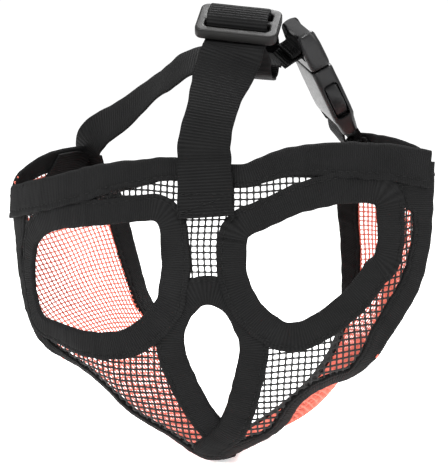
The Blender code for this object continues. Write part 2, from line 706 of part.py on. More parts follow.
YOKE = empty("yoke_axis", (LEFT_ANCHOR + RIGHT_ANCHOR) / 2)
SLIDER_BODY = empty("slider_axis", SLIDER_CENTRE, YOKE)
PLUG_BODY = empty("plug_axis", on_buckle(0, 0, PLUG_BASE_START), YOKE)

face_net()
cheek_net("left_cheek_net", FACE_LEFT, LEFT_RIM, LEFT_BULGE, -1)
cheek_net("right_cheek_net", FACE_RIGHT[::-1], RIGHT_RIM, RIGHT_BULGE, 1)
face_tape("face_edge_binding", FACE_EDGE, TAPE_WIDTH, LAYER_1, -1, 76, columns=5)
face_tape("brow_binding", BROW, TAPE_WIDTH, LAYER_1, 1, 34)
face_tape("left_eye_binding", LEFT_EYE, TAPE_WIDTH, LAYER_2, -1, 40, closed=True)
face_tape("right_eye_binding", RIGHT_EYE, TAPE_WIDTH, LAYER_2, -1, 40, closed=True)
face_tape("nose_binding", NOSE, TAPE_WIDTH, nose_lift, 1, 34)
rim_binding()
chin_seam()
head_strap()
head_strap_loop(YOKE)
neck_strap(YOKE)
LEFT_SURFACE = cheek_surface(FACE_LEFT, LEFT_RIM, LEFT_BULGE, 160, 21)
RIGHT_SURFACE = cheek_surface(FACE_RIGHT[::-1], RIGHT_RIM, RIGHT_BULGE, 160, 21)
STUB_LIFT = NET_THICKNESS / 2 + LAYER_GAP + WEBBING_THICKNESS / 2
TACK_LIFT = LAYER_1 + 0.15 + TAPE_THICKNESS / 2 + LAYER_GAP + 0.3
for label, surface, anchor, out in (("left", LEFT_SURFACE, LEFT_ANCHOR, 1),
                                    ("right", RIGHT_SURFACE, RIGHT_ANCHOR, -1)):
    stub = "neck_strap_sewn_end" if label == "left" else "socket_tab_sewn_end"
    on_cheek(stub, surface, anchor, NECK_WEBBING, (2.8, 15), -out * STUB_LIFT, WEBBING_THICKNESS, WEBBING)
    on_cheek(label + "_anchor_tack", surface, anchor, 14, (2, 9), out * TACK_LIFT, 0.5, THREAD)
strap_slider(SLIDER_BODY)
buckle_socket(YOKE)
socket_tab(YOKE)
buckle_plug(PLUG_BODY)
latch_arm("latch_arm_front", -1, PLUG_BODY)
latch_arm("latch_arm_back", 1, PLUG_BODY)
neck_strap_tail(PLUG_BODY)
forehead_tack()
loop_tack(SLIDER_BODY)
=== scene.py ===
"""Looks of the short-snout mesh muzzle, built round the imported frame.

Lengths are in millimetres from the lowest point of the chin, as in the part's own source, and
row() moves them into the frame. Nets are real strands, tapes are folded over the nets' edges.
"""
import math

import bmesh
import bpy
import numpy as np
from mathutils import Matrix, Vector
from mathutils.bvhtree import BVHTree


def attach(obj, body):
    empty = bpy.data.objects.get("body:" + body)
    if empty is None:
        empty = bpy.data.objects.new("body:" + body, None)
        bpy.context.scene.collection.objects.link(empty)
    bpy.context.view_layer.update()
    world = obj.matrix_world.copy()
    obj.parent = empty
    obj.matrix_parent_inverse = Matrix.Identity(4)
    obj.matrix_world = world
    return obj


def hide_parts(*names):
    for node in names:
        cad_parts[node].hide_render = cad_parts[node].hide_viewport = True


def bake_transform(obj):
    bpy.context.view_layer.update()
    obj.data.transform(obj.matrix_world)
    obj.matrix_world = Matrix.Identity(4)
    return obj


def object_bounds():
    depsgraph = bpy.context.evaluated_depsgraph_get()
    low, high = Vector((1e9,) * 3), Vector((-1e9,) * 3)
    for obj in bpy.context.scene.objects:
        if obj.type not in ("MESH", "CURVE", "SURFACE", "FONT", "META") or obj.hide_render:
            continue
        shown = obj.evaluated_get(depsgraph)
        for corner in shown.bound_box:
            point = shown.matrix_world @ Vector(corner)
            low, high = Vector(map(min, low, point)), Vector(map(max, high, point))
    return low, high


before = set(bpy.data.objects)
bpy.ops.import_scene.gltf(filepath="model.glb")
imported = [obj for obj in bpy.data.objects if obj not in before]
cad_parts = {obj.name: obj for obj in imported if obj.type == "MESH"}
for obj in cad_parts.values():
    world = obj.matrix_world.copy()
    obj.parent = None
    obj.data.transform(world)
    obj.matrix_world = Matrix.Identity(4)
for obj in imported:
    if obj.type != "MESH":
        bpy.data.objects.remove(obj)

CAD_BOX = [list(corner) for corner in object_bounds()]
HEAD_OPENING = np.array([4.0, 48.0, 66.0])

# The face's middle line, as height and depth; half width, side depth and curl of each side
PROFILE = [(-4, -15), (0, -17), (15, -28), (40, -38), (65, -43), (80, -44), (105, -40), (125, -35),
           (140, -31)]
LEFT_SIDE = (92, 12, 2.6)
RIGHT_SIDE = (90, -8, 1.9)
JAW = [(-80, 40), (-70, 46), (-51, 37), (-35, 23), (-18, 12), (-6, 2), (0, 2), (13, 8), (31, 21), (44, 34),
       (56, 40), (68, 46), (80, 40)]
JAW_CURL = 9.0
JAW_REACH = 14.0

# Outlines on the face, as x and height
FACE_LEFT = [(-93, 110), (-90, 95), (-87, 76), (-83, 62), (-78, 53), (-70, 46), (-61, 42), (-51, 37),
             (-43, 31), (-35, 23), (-26, 17), (-18, 12), (-11, 5), (-5, 1.5), (2, 0.5)]
FACE_RIGHT = [(2, 0.5), (13, 7), (22, 12), (30, 19), (37, 30), (47, 36), (57, 39), (66, 47), (77, 64),
              (84, 77), (88, 97), (89, 121)]
BROW = [(-92, 113), (-78, 117), (-66, 120), (-48, 125), (-28, 128), (-13, 129), (2, 127.5), (13, 126.5),
        (25, 131), (37, 134), (54, 135), (72, 134), (88, 131)]
LEFT_EYE = [(-76, 91), (-68, 97.5), (-53, 101), (-38, 103), (-24, 105), (-18.5, 103), (-17.5, 94), (-17, 85),
            (-19, 74), (-26, 65), (-36, 59), (-51, 57.5), (-63, 59), (-73, 61), (-77, 69), (-78, 80)]
RIGHT_EYE = [(16, 97), (18, 100), (27, 104), (39, 109), (53, 111.5), (64, 111.5), (67, 108), (67, 92),
             (63, 87), (55, 76.5), (43, 67), (33, 64), (24, 70), (18, 79), (16, 88)]
NOSE = [(-7, 9.5), (-1.5, 15.5), (3.5, 20.5), (6.5, 26), (9.5, 34), (12.5, 46), (14, 56), (9, 68), (2, 72.5),
        (-4, 69.5), (-9, 59), (-7, 47), (-2, 35), (3, 25), (7.5, 18.5), (11, 12.5)]
NOSE_HOLE = NOSE[3:-2]

# Free edges of the cheeks
LEFT_RIM = [(-91, 11, 115), (-87, 15, 121), (-80, 20, 126), (-72, 28, 128.5), (-65, 37, 128), (-57, 43, 119),
            (-50.5, 46, 106), (-47.5, 48, 92), (-44, 50, 77), (-40, 51, 62), (-32, 52, 46), (-22, 52, 28),
            (-13, 51, 12), (-5, 50, 3), (2.5, 49, 0.5)]
RIGHT_RIM = [(88, -2, 127), (83, 5, 131.5), (74, 13, 134.5), (64, 21, 136), (56, 30, 136), (50, 39, 131),
             (47.5, 44, 119), (47, 47, 103), (48.5, 49, 85), (49, 50, 66), (48, 51, 50), (43, 51, 36),
             (34, 51, 23), (20, 50, 10), (9, 49, 2.5), (2.5, 49, 0.5)]
LEFT_BULGE = 5.0
RIGHT_BULGE = 6.0

# Cloth: tape width and thickness, its ribs, how uneven it lies, and its stitch line's distance from the edge
TAPE_WIDTH = 11.0
TAPE = 0.7
TAPE_RIB = 0.8
PUCKER = 0.14
STITCH_LINE = 9.1
# Middle of a tape's outer side above the net, by how many layers lie below it
FIRST_LAYER = 0.7
SECOND_LAYER = 1.5
THIRD_LAYER = 2.3
# Webbing: rib pitch and depth, thickness and widths
RIB_PITCH = 1.27
RIB_DEPTH = 0.1
WEB = 1.3
HEAD_WEBBING = 25.0
NECK_WEBBING = 20.0
# Nets: pitch, then a strand's share of the pitch, its rise either way and the share of that at its sides
BLACK_PITCH = 2.5
BLACK_NET = (0.23, 0.34, 0.55)
CORAL_PITCH = 2.15
CORAL_NET = (0.225, 0.34, 0.6)
# The camera: how far from its aim, and the size of one pixel there, in metres
CAMERA_DISTANCE = 0.70
PIXEL = 0.00042


def fixed(made, node, body):
    """Stands for a node of the part and moves with a body."""
    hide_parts(node)
    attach(made, body)


def row(points):
    return (np.asarray(points, float) - HEAD_OPENING) * 0.001


def unit(v):
    v = np.asarray(v, float)
    return v / np.linalg.norm(v, axis=-1, keepdims=True)


# ---- materials

def plug_in(tree, node, inputs):
    """Sets each input to a number or a colour, or links it to another node's output."""
    for name, value in inputs.items():
        if isinstance(value, bpy.types.NodeSocket):
            tree.links.new(value, node.inputs[name])
        elif value is not None:
            node.inputs[name].default_value = value


def math_node(tree, operation, first, second):
    node = tree.nodes.new("ShaderNodeMath")
    node.operation = operation
    plug_in(tree, node, {0: first, 1: second})
    return node.outputs[0]


def noise(tree, scale, detail):
    place = tree.nodes.new("ShaderNodeTexCoord").outputs["Object"]
    node = tree.nodes.new("ShaderNodeTexNoise")
    plug_in(tree, node, {"Scale": scale, "Detail": detail, "Vector": place})
    return node.outputs["Fac"]


def ramp(tree, factor, low, high, start=0.3, end=0.7):
    node = tree.nodes.new("ShaderNodeValToRGB")
    for element, place, colour in zip(node.color_ramp.elements, (start, end), (low, high)):
        element.position = place
        element.color = (*colour, 1)
    plug_in(tree, node, {"Fac": factor})
    return node.outputs["Color"]


def attribute(tree, name):
    node = tree.nodes.new("ShaderNodeAttribute")
    node.attribute_name = name
    return node.outputs["Fac"]


def wave(tree, value, pitch):
    """A rib every pitch, from 0 to 1."""
    turned = math_node(tree, "SINE", math_node(tree, "MULTIPLY", value, 2 * math.pi / pitch), None)
    return math_node(tree, "ADD", math_node(tree, "MULTIPLY", turned, 0.5), 0.5)


def bump(tree, height, strength, distance, under=None):
    node = tree.nodes.new("ShaderNodeBump")
    plug_in(tree, node, {"Strength": strength, "Distance": distance, "Height": height, "Normal": under})
    return node.outputs["Normal"]


def new_material(name, roughness, specular=0.5, sheen=0.0):
    """A material, its node tree and its shader."""
    made = bpy.data.materials.new(name)
    made.use_nodes = True
    tree = made.node_tree
    shader = tree.nodes["Principled BSDF"]
    plug_in(tree, shader, {"Roughness": roughness, "Specular IOR Level": specular, "Sheen Weight": sheen,
                           "Sheen Roughness": 0.45})
    return made, tree, shader


def ribbed_cloth(name, low, high, pitch, depth, roughness, specular):
    """Woven tape or webbing: ribs across its length, fine yarns, uneven dye and a painted highlight on each
    rib.
    """
    made, tree, shader = new_material(name, roughness, specular)
    ribs = wave(tree, attribute(tree, "along"), pitch)
    yarns = wave(tree, attribute(tree, "across"), 0.55)
    patches = noise(tree, 90, 3)
    grain = noise(tree, 2600, 2)
    # The colour mixes random dye patches and grain with the ribs; the rib term is a painted highlight along
    # each rib's crest.
    shade = math_node(tree, "ADD", math_node(tree, "MULTIPLY", ribs, 0.42),
                      math_node(tree, "MULTIPLY", patches, 0.5))
    shade = math_node(tree, "ADD", shade, math_node(tree, "MULTIPLY", grain, 0.25))
    height = math_node(tree, "ADD", math_node(tree, "MULTIPLY", ribs, 0.8),
                       math_node(tree, "MULTIPLY", yarns, 0.18))
    under = bump(tree, grain, 0.35, 0.00012)
    plug_in(tree, shader, {"Base Color": ramp(tree, shade, low, high, 0.25, 0.95),
                           "Normal": bump(tree, height, 0.7, depth, under)})
    return made


def strand(name, low, high, roughness, sheen):
    """Knitted net yarn: uneven colour along the strands and a fine fuzz."""
    made, tree, shader = new_material(name, roughness, 0.3, sheen)
    shade = math_node(tree, "ADD", math_node(tree, "MULTIPLY", noise(tree, 300, 3), 0.6),
                      math_node(tree, "MULTIPLY", noise(tree, 3000, 2), 0.4))
    plug_in(tree, shader, {"Base Color": ramp(tree, shade, low, high, 0.35, 0.65),
                           "Normal": bump(tree, noise(tree, 4200, 2), 0.5, 0.00015)})
    return made


def moulded(name, low, high, roughness, specular):
    """Satin moulded plastic with a fine spark-eroded grain."""
    made, tree, shader = new_material(name, roughness, specular)
    rough = math_node(tree, "ADD", math_node(tree, "MULTIPLY", noise(tree, 500, 3), 0.16), roughness - 0.08)
    plug_in(tree, shader, {"Base Color": ramp(tree, noise(tree, 60, 4), low, high), "Roughness": rough,
                           "Normal": bump(tree, noise(tree, 2500, 2), 0.25, 0.00008)})
    return made


# Cloth colours run dark to light; the light end shows dye patches and the painted highlight on the rib crests.
BLACK_TAPE = ribbed_cloth("black_tape", (0.002, 0.002, 0.0021), (0.009, 0.009, 0.0092), TAPE_RIB, 0.0003,
                          0.75, 0.12)
BLACK_WEB = ribbed_cloth("black_webbing", (0.0015, 0.0015, 0.0016), (0.0065, 0.0065, 0.0066), RIB_PITCH,
                         0.0003, 0.65, 0.1)
BLACK_STRAND = strand("black_strand", (0.003, 0.003, 0.003), (0.012, 0.012, 0.012), 0.7, 0.05)
CORAL_STRAND = strand("coral_strand", (0.66, 0.12, 0.08), (0.85, 0.22, 0.155), 0.6, 0.0)
THREAD = strand("black_thread", (0.0015, 0.0015, 0.0015), (0.005, 0.005, 0.005), 0.8, 0.0)
CHARCOAL = moulded("charcoal_plastic", (0.006, 0.006, 0.0065), (0.011, 0.011, 0.0115), 0.34, 0.25)
GREY = moulded("grey_plastic", (0.008, 0.0078, 0.0076), (0.013, 0.0125, 0.012), 0.4, 0.14)


# ---- meshes

def placed(name, data):
    made = bpy.data.objects.new(name, data)
    bpy.context.scene.collection.objects.link(made)
    return made


def piece(name, points, faces, material, values=None):
    mesh = bpy.data.meshes.new(name)
    mesh.from_pydata(row(points).tolist(), [], [tuple(int(i) for i in f) for f in faces])
    for key, numbers in (values or {}).items():
        mesh.attributes.new(key, "FLOAT", "POINT").data.foreach_set("value", np.asarray(numbers, np.float32))
    mesh.shade_smooth()
    mesh.materials.append(material)
    made = placed(name, mesh)
    return made


def interpolate(wanted, places, values):
    """Rows of values at the wanted places, one column at a time."""
    return np.stack([np.interp(wanted, places, column) for column in values.T], axis=1)


def travelled(points):
    """How far along a line each of its points is."""
    return np.r_[0, np.cumsum(np.linalg.norm(np.diff(points, axis=0), axis=1))]


def smooth_curve(points, spacing, closed=False):
    """Evenly spaced points on a smooth curve through the given points, and how far along each is."""
    p = np.array(points, float)
    if closed:
        padded = np.vstack([p[-1], p, p[:2]])
    else:
        padded = np.vstack([2 * p[0] - p[1], p, 2 * p[-1] - p[-2]])
    t = np.linspace(0, 1, 16, endpoint=False)[:, None]
    dense = []
    for i in range(len(padded) - 3):
        a, b, c, d = padded[i:i + 4]
        dense.append(0.5 * (2 * b + (c - a) * t + (2 * a - 5 * b + 4 * c - d) * t ** 2
                            + (3 * b - a - 3 * c + d) * t ** 3))
    dense = np.vstack([*dense, p[0] if closed else p[-1]])
    along = travelled(dense)
    count = max(3, round(along[-1] / spacing) + 1)
    wanted = np.linspace(0, along[-1], count)
    if closed:
        wanted = wanted[:-1]
    return interpolate(wanted, along, dense), wanted


def tangents(points, closed=False):
    if closed:
        return unit(np.roll(points, -1, axis=0) - np.roll(points, 1, axis=0))
    return unit(np.gradient(points, axis=0))


def ripple(along, seed, longest, shortest, count=7):
    """A smooth uneven wave between -1 and 1, the same one for the same seed."""
    r = np.random.default_rng(seed)
    lengths = np.geomspace(longest, shortest, count)
    parts = [np.sin(2 * np.pi * along / length * r.uniform(0.9, 1.1) + r.uniform(0, 7)) for length in lengths]
    return sum(parts) / count ** 0.5


def loft(rows, closed=False):
    """Faces of a tube of rows of points, capped at its ends unless it closes on itself."""
    count, around = rows.shape[:2]
    i = np.arange(count if closed else count - 1)[:, None]
    j = np.arange(around)[None, :]
    after, beside = (i + 1) % count, (j + 1) % around
    quads = np.stack([i * around + j, i * around + beside, after * around + beside, after * around + j],
                     axis=-1)
    faces = [tuple(q) for q in quads.reshape(-1, 4)]
    if not closed:
        faces.append(tuple(range(around))[::-1])
        faces.append(tuple((count - 1) * around + k for k in range(around)))
    return faces


def tube_piece(name, rows, along, across, material, closed=False):
    count, around = rows.shape[:2]
    values = {"along": np.repeat(along, around), "across": np.tile(across, count)}
    made = piece(name, rows.reshape(-1, 3), loft(rows, closed), material, values)
    outward(made)
    return made


def outward(made):
    shape = bmesh.new()
    shape.from_mesh(made.data)
    if shape.calc_volume(signed=True) < 0:
        bmesh.ops.reverse_faces(shape, faces=shape.faces)
    shape.to_mesh(made.data)
    shape.free()


# ---- the face's surface

PROFILE_CURVE = smooth_curve(PROFILE, 0.4)[0]
JAW_CURVE = smooth_curve(JAW, 0.5)[0]


def face_points(x, z):
    middle = np.interp(z, PROFILE_CURVE[:, 0], PROFILE_CURVE[:, 1])
    half, side, power = [np.where(x < 0, a, b) for a, b in zip(LEFT_SIDE, RIGHT_SIDE)]
    depth = middle + (side - middle) * np.minimum(1.25, np.abs(x) / half) ** power
    above_jaw = z - np.interp(x, JAW_CURVE[:, 0], JAW_CURVE[:, 1])
    curl = np.clip(1 - above_jaw / JAW_REACH, 0, 1.2) ** 2
    fade = np.clip((78 - np.abs(x)) / 22, 0, 1)
    return np.stack([x, depth + JAW_CURL * curl * fade, z], axis=-1)


def face_normals(x, z):
    step = 0.6
    across = face_points(x + step, z) - face_points(x - step, z)
    up = face_points(x, z + step) - face_points(x, z - step)
    return unit(np.cross(across, up))


# ---- folded tapes

# One side of the fold: distance from the edge, and how far out of the tape's middle layer
SIDE = [(11.25, 0.2), (11.0, 0.85), (10.3, 1.0), (9.5, 0.95), (9.1, 0.55), (8.7, 0.95), (7.4, 1.0),
        (5.4, 1.0), (3.4, 1.0), (1.6, 1.0), (0.5, 0.85)]
FOLD = [(-0.35, 0.45), (-0.6, 0.0)]


def folded(name, along, surface, normals, lift, seed, closed=False, scale=1.0):
    """A tape folded over an edge. surface and normals give a point and a normal for every place along it, at a
    distance from the edge. lift gives the height of its middle layer at a share of its width."""
    shape = [*SIDE, *FOLD]
    loop = [(d, h, 1) for d, h in shape] + [(d, h, -1) for d, h in shape[-2::-1]]
    rows, across = [], []
    waves = ripple(along, seed, 38, 5)
    small = ripple(along, seed + 1, 9, 2.6)
    for d, h, sign in loop:
        share = min(1, max(0, d / TAPE_WIDTH))
        layer = lift(share)
        uneven = PUCKER * (waves * (0.4 + 0.6 * share) + 0.35 * small) * sign * (1 if d > 0.4 else 0.3)
        height = sign * (layer - TAPE / 2 + TAPE * h) if d > 0 else sign * h * (layer + TAPE / 2)
        shift = 0.16 * ripple(along, seed + 2, 26, 6)
        far = (d if d < 0 else d * scale) + shift
        rows.append(surface(far) + normals(far) * (height + uneven)[:, None])
        across.append(d if sign > 0 else d + 40)
    rows = np.stack(rows, axis=1)
    return tube_piece(name, rows, along, np.array(across), BLACK_TAPE, closed)


def face_tape(name, outline, outward_sign, lift, seed, closed=False, widths=None):
    path, along = smooth_curve(outline, TAPE_RIB, closed)
    x, z = path[:, 0], path[:, 1]
    scale = np.interp(along / along[-1], *zip(*widths)) / TAPE_WIDTH if widths else 1.0
    side = np.cross(tangents(face_points(x, z), closed), face_normals(x, z)) * outward_sign

    def at(distance):
        far = np.broadcast_to(np.asarray(distance, float), x.shape)
        steps = 12
        px, pz = x, z
        for _ in range(steps):
            normal = face_normals(px, pz)
            way = unit(side - normal * np.sum(side * normal, axis=-1, keepdims=True))
            place = face_points(px, pz) + way * (far / steps)[:, None]
            px, pz = place[:, 0], place[:, 2]
        return px, pz

    made = folded(name, along, lambda d: face_points(*at(d)), lambda d: face_normals(*at(d)),
                  lambda share: lift(share, x), seed, closed, scale)
    sewn = at(STITCH_LINE * scale)
    stitches(name + "_stitches", [face_points(*sewn)], [face_normals(*sewn)],
             [lift(STITCH_LINE / TAPE_WIDTH, x) + TAPE * 0.1], made)
    return made


def stitches(name, lines, normals, lifts, parent=None, length=2.1, gap=0.9, radius=0.19):
    """Sewing thread: a short bowed stitch every few millimetres along each line."""
    points, faces = [], []
    for line, normal, lift in zip(lines, normals, lifts):
        along = travelled(line)
        lift = np.broadcast_to(lift, along.shape)
        for start in np.arange(gap, along[-1] - length, length + gap):
            t = start + length * np.array([0, 0.12, 0.5, 0.88, 1])
            middle = interpolate(t, along, line)
            up = unit(interpolate(t, along, normal))
            rise = np.interp(t, along, lift) + np.array([-0.3, 0.08, 0.17, 0.08, -0.3])
            middle = middle + up * rise[:, None]
            side = unit(np.cross(np.gradient(middle, axis=0), up))
            first = len(points)
            for m, u, s, r in zip(middle, up, side, (0.5, 0.95, 1, 0.95, 0.5)):
                for k in range(6):
                    angle = math.pi / 3 * k
                    points.append(m + (s * math.cos(angle) + u * math.sin(angle)) * radius * r)
            for i in range(4):
                for k in range(6):
                    a, b = first + i * 6 + k, first + i * 6 + (k + 1) % 6
                    faces.append((a, b, b + 6, a + 6))
            faces.append(tuple(first + k for k in range(6))[::-1])
            faces.append(tuple(first + 24 + k for k in range(6)))
    made = piece(name, points, faces, THREAD)
    outward(made)
    made.parent = parent
    return made


# ---- nets

def inside(points, outline):
    """Which of the points lie inside a closed outline, by crossings."""
    x, z = points[..., 0], points[..., 1]
    found = np.zeros(x.shape, bool)
    for (x0, z0), (x1, z1) in zip(outline, np.roll(outline, -1, axis=0)):
        if z0 == z1:
            continue
        found ^= ((z0 > z) != (z1 > z)) & (x < (x1 - x0) * (z - z0) / (z1 - z0) + x0)
    return found


def distance_to(points, outline):
    best = np.full(points.shape[:-1], 1e9)
    for a, b in zip(outline, np.roll(outline, -1, axis=0)):
        way = b - a
        t = np.clip(np.sum((points - a) * way, axis=-1) / (way @ way), 0, 1)
        best = np.minimum(best, np.linalg.norm(points - a - way * t[..., None], axis=-1))
    return best


def net(name, corners, normals, keep, yarn, material):
    """Strands round every kept cell of a lattice of corners, and the area of those cells."""
    width, height, shoulder = yarn
    rows, columns = keep.shape
    size = corners.shape[0] * corners.shape[1]
    grid = np.arange(size).reshape(corners.shape[:2])
    half_i = 0.5 * (corners[1:] + corners[:-1])
    half_j = 0.5 * (corners[:, 1:] + corners[:, :-1])
    mid_i = size + np.arange(half_i.shape[0] * half_i.shape[1]).reshape(half_i.shape[:2])
    mid_j = mid_i.max() + 1 + np.arange(half_j.shape[0] * half_j.shape[1]).reshape(half_j.shape[:2])
    n_i, n_j = unit(normals[1:] + normals[:-1]), unit(normals[:, 1:] + normals[:, :-1])
    line = np.vstack([corners.reshape(-1, 3), half_i.reshape(-1, 3), half_j.reshape(-1, 3)])
    line_n = np.vstack([normals.reshape(-1, 3), n_i.reshape(-1, 3), n_j.reshape(-1, 3)])
    rise = np.r_[np.full(size, height), np.full(len(line) - size, height * 0.8)]
    i, j = np.nonzero(keep)
    outer = np.stack([grid[i, j], mid_i[i, j], grid[i + 1, j], mid_j[i + 1, j], grid[i + 1, j + 1],
                      mid_i[i, j + 1], grid[i, j + 1], mid_j[i, j]], axis=1)
    m, r = width / 2, width / 2 + 0.035
    ring = np.array([(r, r), (0.5, m), (1 - r, r), (1 - m, 0.5), (1 - r, 1 - r), (0.5, 1 - m), (r, 1 - r),
                     (m, 0.5)])
    c00, c10, c11, c01 = (corners[i, j], corners[i + 1, j], corners[i + 1, j + 1], corners[i, j + 1])
    inner = np.stack([c00 * (1 - a) * (1 - b) + c10 * a * (1 - b) + c11 * a * b + c01 * (1 - a) * b
                      for a, b in ring], axis=1)
    inner_n = unit(normals[i, j] + normals[i + 1, j] + normals[i + 1, j + 1] + normals[i, j + 1])[:, None, :]
    low = height * shoulder
    count = len(line)
    cells = len(i)
    points = np.vstack([line + line_n * rise[:, None], line - line_n * rise[:, None],
                        (inner + inner_n * low).reshape(-1, 3), (inner - inner_n * low).reshape(-1, 3)])
    front_ring = 2 * count + np.arange(cells * 8).reshape(cells, 8)
    back_ring = front_ring + cells * 8
    nxt = np.roll(np.arange(8), -1)
    rings = (outer, front_ring, back_ring, outer + count)
    bands = [np.stack([a, a[:, nxt], b[:, nxt], b], axis=-1).reshape(-1, 4) for a, b in zip(rings, rings[1:])]
    a, b = outer.reshape(-1), outer[:, nxt].reshape(-1)
    key = np.minimum(a, b) * np.int64(10 ** 7) + np.maximum(a, b)
    _, first, uses = np.unique(key, return_index=True, return_counts=True)
    edge = first[uses == 1]
    rim = np.stack([b[edge], a[edge], a[edge] + count, b[edge] + count], axis=-1)
    faces = np.vstack([*bands, rim])
    used = np.unique(faces)
    index = np.zeros(len(points), int)
    index[used] = np.arange(len(used))
    made = piece(name, points[used], index[faces], material)
    outward(made)
    d1, d2 = c11 - c00, c01 - c10
    return made, float(np.sum(np.linalg.norm(np.cross(d1, d2), axis=1)) / 2) * 1e-6


def face_net():
    edge = np.vstack([smooth_curve(FACE_LEFT, 3)[0][:-1], smooth_curve(FACE_RIGHT, 3)[0],
                      smooth_curve(BROW, 3)[0][::-1]])
    holes = [smooth_curve(LEFT_EYE, 3, True)[0], smooth_curve(RIGHT_EYE, 3, True)[0],
             smooth_curve(NOSE_HOLE, 3, True)[0]]
    u = np.arange(-42, 42) * BLACK_PITCH * 0.94
    v = np.arange(-3, 56) * BLACK_PITCH * 1.03
    x, z = np.meshgrid(u, v, indexing="ij")
    squeeze = 1 - 0.10 * (np.abs(x) / 90) ** 2
    lean = np.clip((40 - z) / 40, 0, 1.2)
    shift_x = 0.35 * np.sin(z / 9 + x / 17) + 0.25 * np.sin(z / 4.3 + 1.7)
    shift_z = 0.4 * np.sin(x / 8.5 + z / 23) + 0.25 * np.sin(x / 4.1 + 0.6)
    wx = x * squeeze * 1.12 + shift_x + lean * 3.0 * np.sign(x - 5) * -1
    wz = z + shift_z + 0.0011 * (x - 3) ** 2 * np.where(x < 0, 0.2, 0.8) + lean * np.clip(-x, 0, 60) * 0.10
    place = np.stack([wx, wz], axis=-1)
    middle = 0.25 * (place[1:, 1:] + place[:-1, 1:] + place[1:, :-1] + place[:-1, :-1])
    keep = inside(middle, edge) & (distance_to(middle, edge) > 2.4)
    for hole in holes:
        keep &= ~inside(middle, hole) & (distance_to(middle, hole) > 2.4)
    made, area = net("face_net", face_points(wx, wz), face_normals(wx, wz), keep, BLACK_NET, BLACK_STRAND)
    fixed(made, "face_net_panel", "mask")


def cheek_rows(front, rim, bulge, front_bow, rear_bow, count=200, columns=25):
    """Rows of points from the face's edge to the cheek's free edge, bowed outwards. front_bow and rear_bow
    add to the bow near either edge, as functions of the place along the cheek."""
    start = smooth_curve(front, 0.5)[0]
    end = smooth_curve(rim, 0.5)[0]
    s = np.linspace(0, 1, count)
    start, end = [interpolate(s, np.linspace(0, 1, len(line)), line) for line in (start, end)]
    x, z = start[:, 0], start[:, 1]
    a = face_points(x, z) - face_normals(x, z) * 1.0
    out = unit(np.cross(np.gradient(end, axis=0), end - a))
    away = a - np.array([2, 0, 60])
    away[:, 1] = 0
    out *= np.sign(np.sum(out * away, axis=1, keepdims=True))
    swell = bulge * np.sin(np.pi * np.minimum(1, s + 0.08))
    t = np.linspace(0, 1, columns)
    bow = (swell[:, None] * 4 * t * (1 - t) + front_bow(s)[:, None] * np.sin(np.pi * t ** 0.55) ** 1.2
           + rear_bow(s)[:, None] * np.sin(np.pi * t ** 1.8))
    return a[:, None] * (1 - t[:, None]) + end[:, None] * t[:, None] + out[:, None] * bow[..., None]


def bumps(*shapes):
    """A bow that rises at each (height, place, half width, power) along a cheek."""
    return lambda s: sum((h * np.exp(-((s - at) / half) ** power) for h, at, half, power in shapes), 0 * s)


LEFT_ROWS = cheek_rows(FACE_LEFT, LEFT_RIM, LEFT_BULGE, bumps(), bumps())
RIGHT_ROWS = cheek_rows(FACE_RIGHT[::-1], RIGHT_RIM, RIGHT_BULGE,
                        bumps((6.5, 0.70, 0.11, 2), (2.0, 0.16, 0.1, 2)), bumps((9.0, 0.44, 0.18, 4)))


def unrolled(rows):
    """Both edges of the cheek laid out flat, quad by quad, as the cloth would lie before sewing."""
    front, back = rows[:, 0], rows[:, -1]
    flat_front, flat_back = [np.zeros(2)], [np.array([0.0, np.linalg.norm(back[0] - front[0])])]

    def third(p, q, to_p, to_q):
        """The point at those distances from p and q, on the strip's far side."""
        way = q - p
        base = max(np.linalg.norm(way), 1e-6)
        along = (to_p ** 2 - to_q ** 2 + base ** 2) / (2 * base)
        off = math.sqrt(max(to_p ** 2 - along ** 2, 0))
        return p + way / base * along + np.array([way[1], -way[0]]) / base * off

    for k in range(1, len(rows)):
        p, q = flat_front[-1], flat_back[-1]
        far = third(p, q, np.linalg.norm(front[k] - front[k - 1]), np.linalg.norm(front[k] - back[k - 1]))
        flat_back.append(third(far, q, np.linalg.norm(back[k] - front[k]),
                               np.linalg.norm(back[k] - back[k - 1])))
        flat_front.append(far)
    return np.array(flat_front), np.array(flat_back)


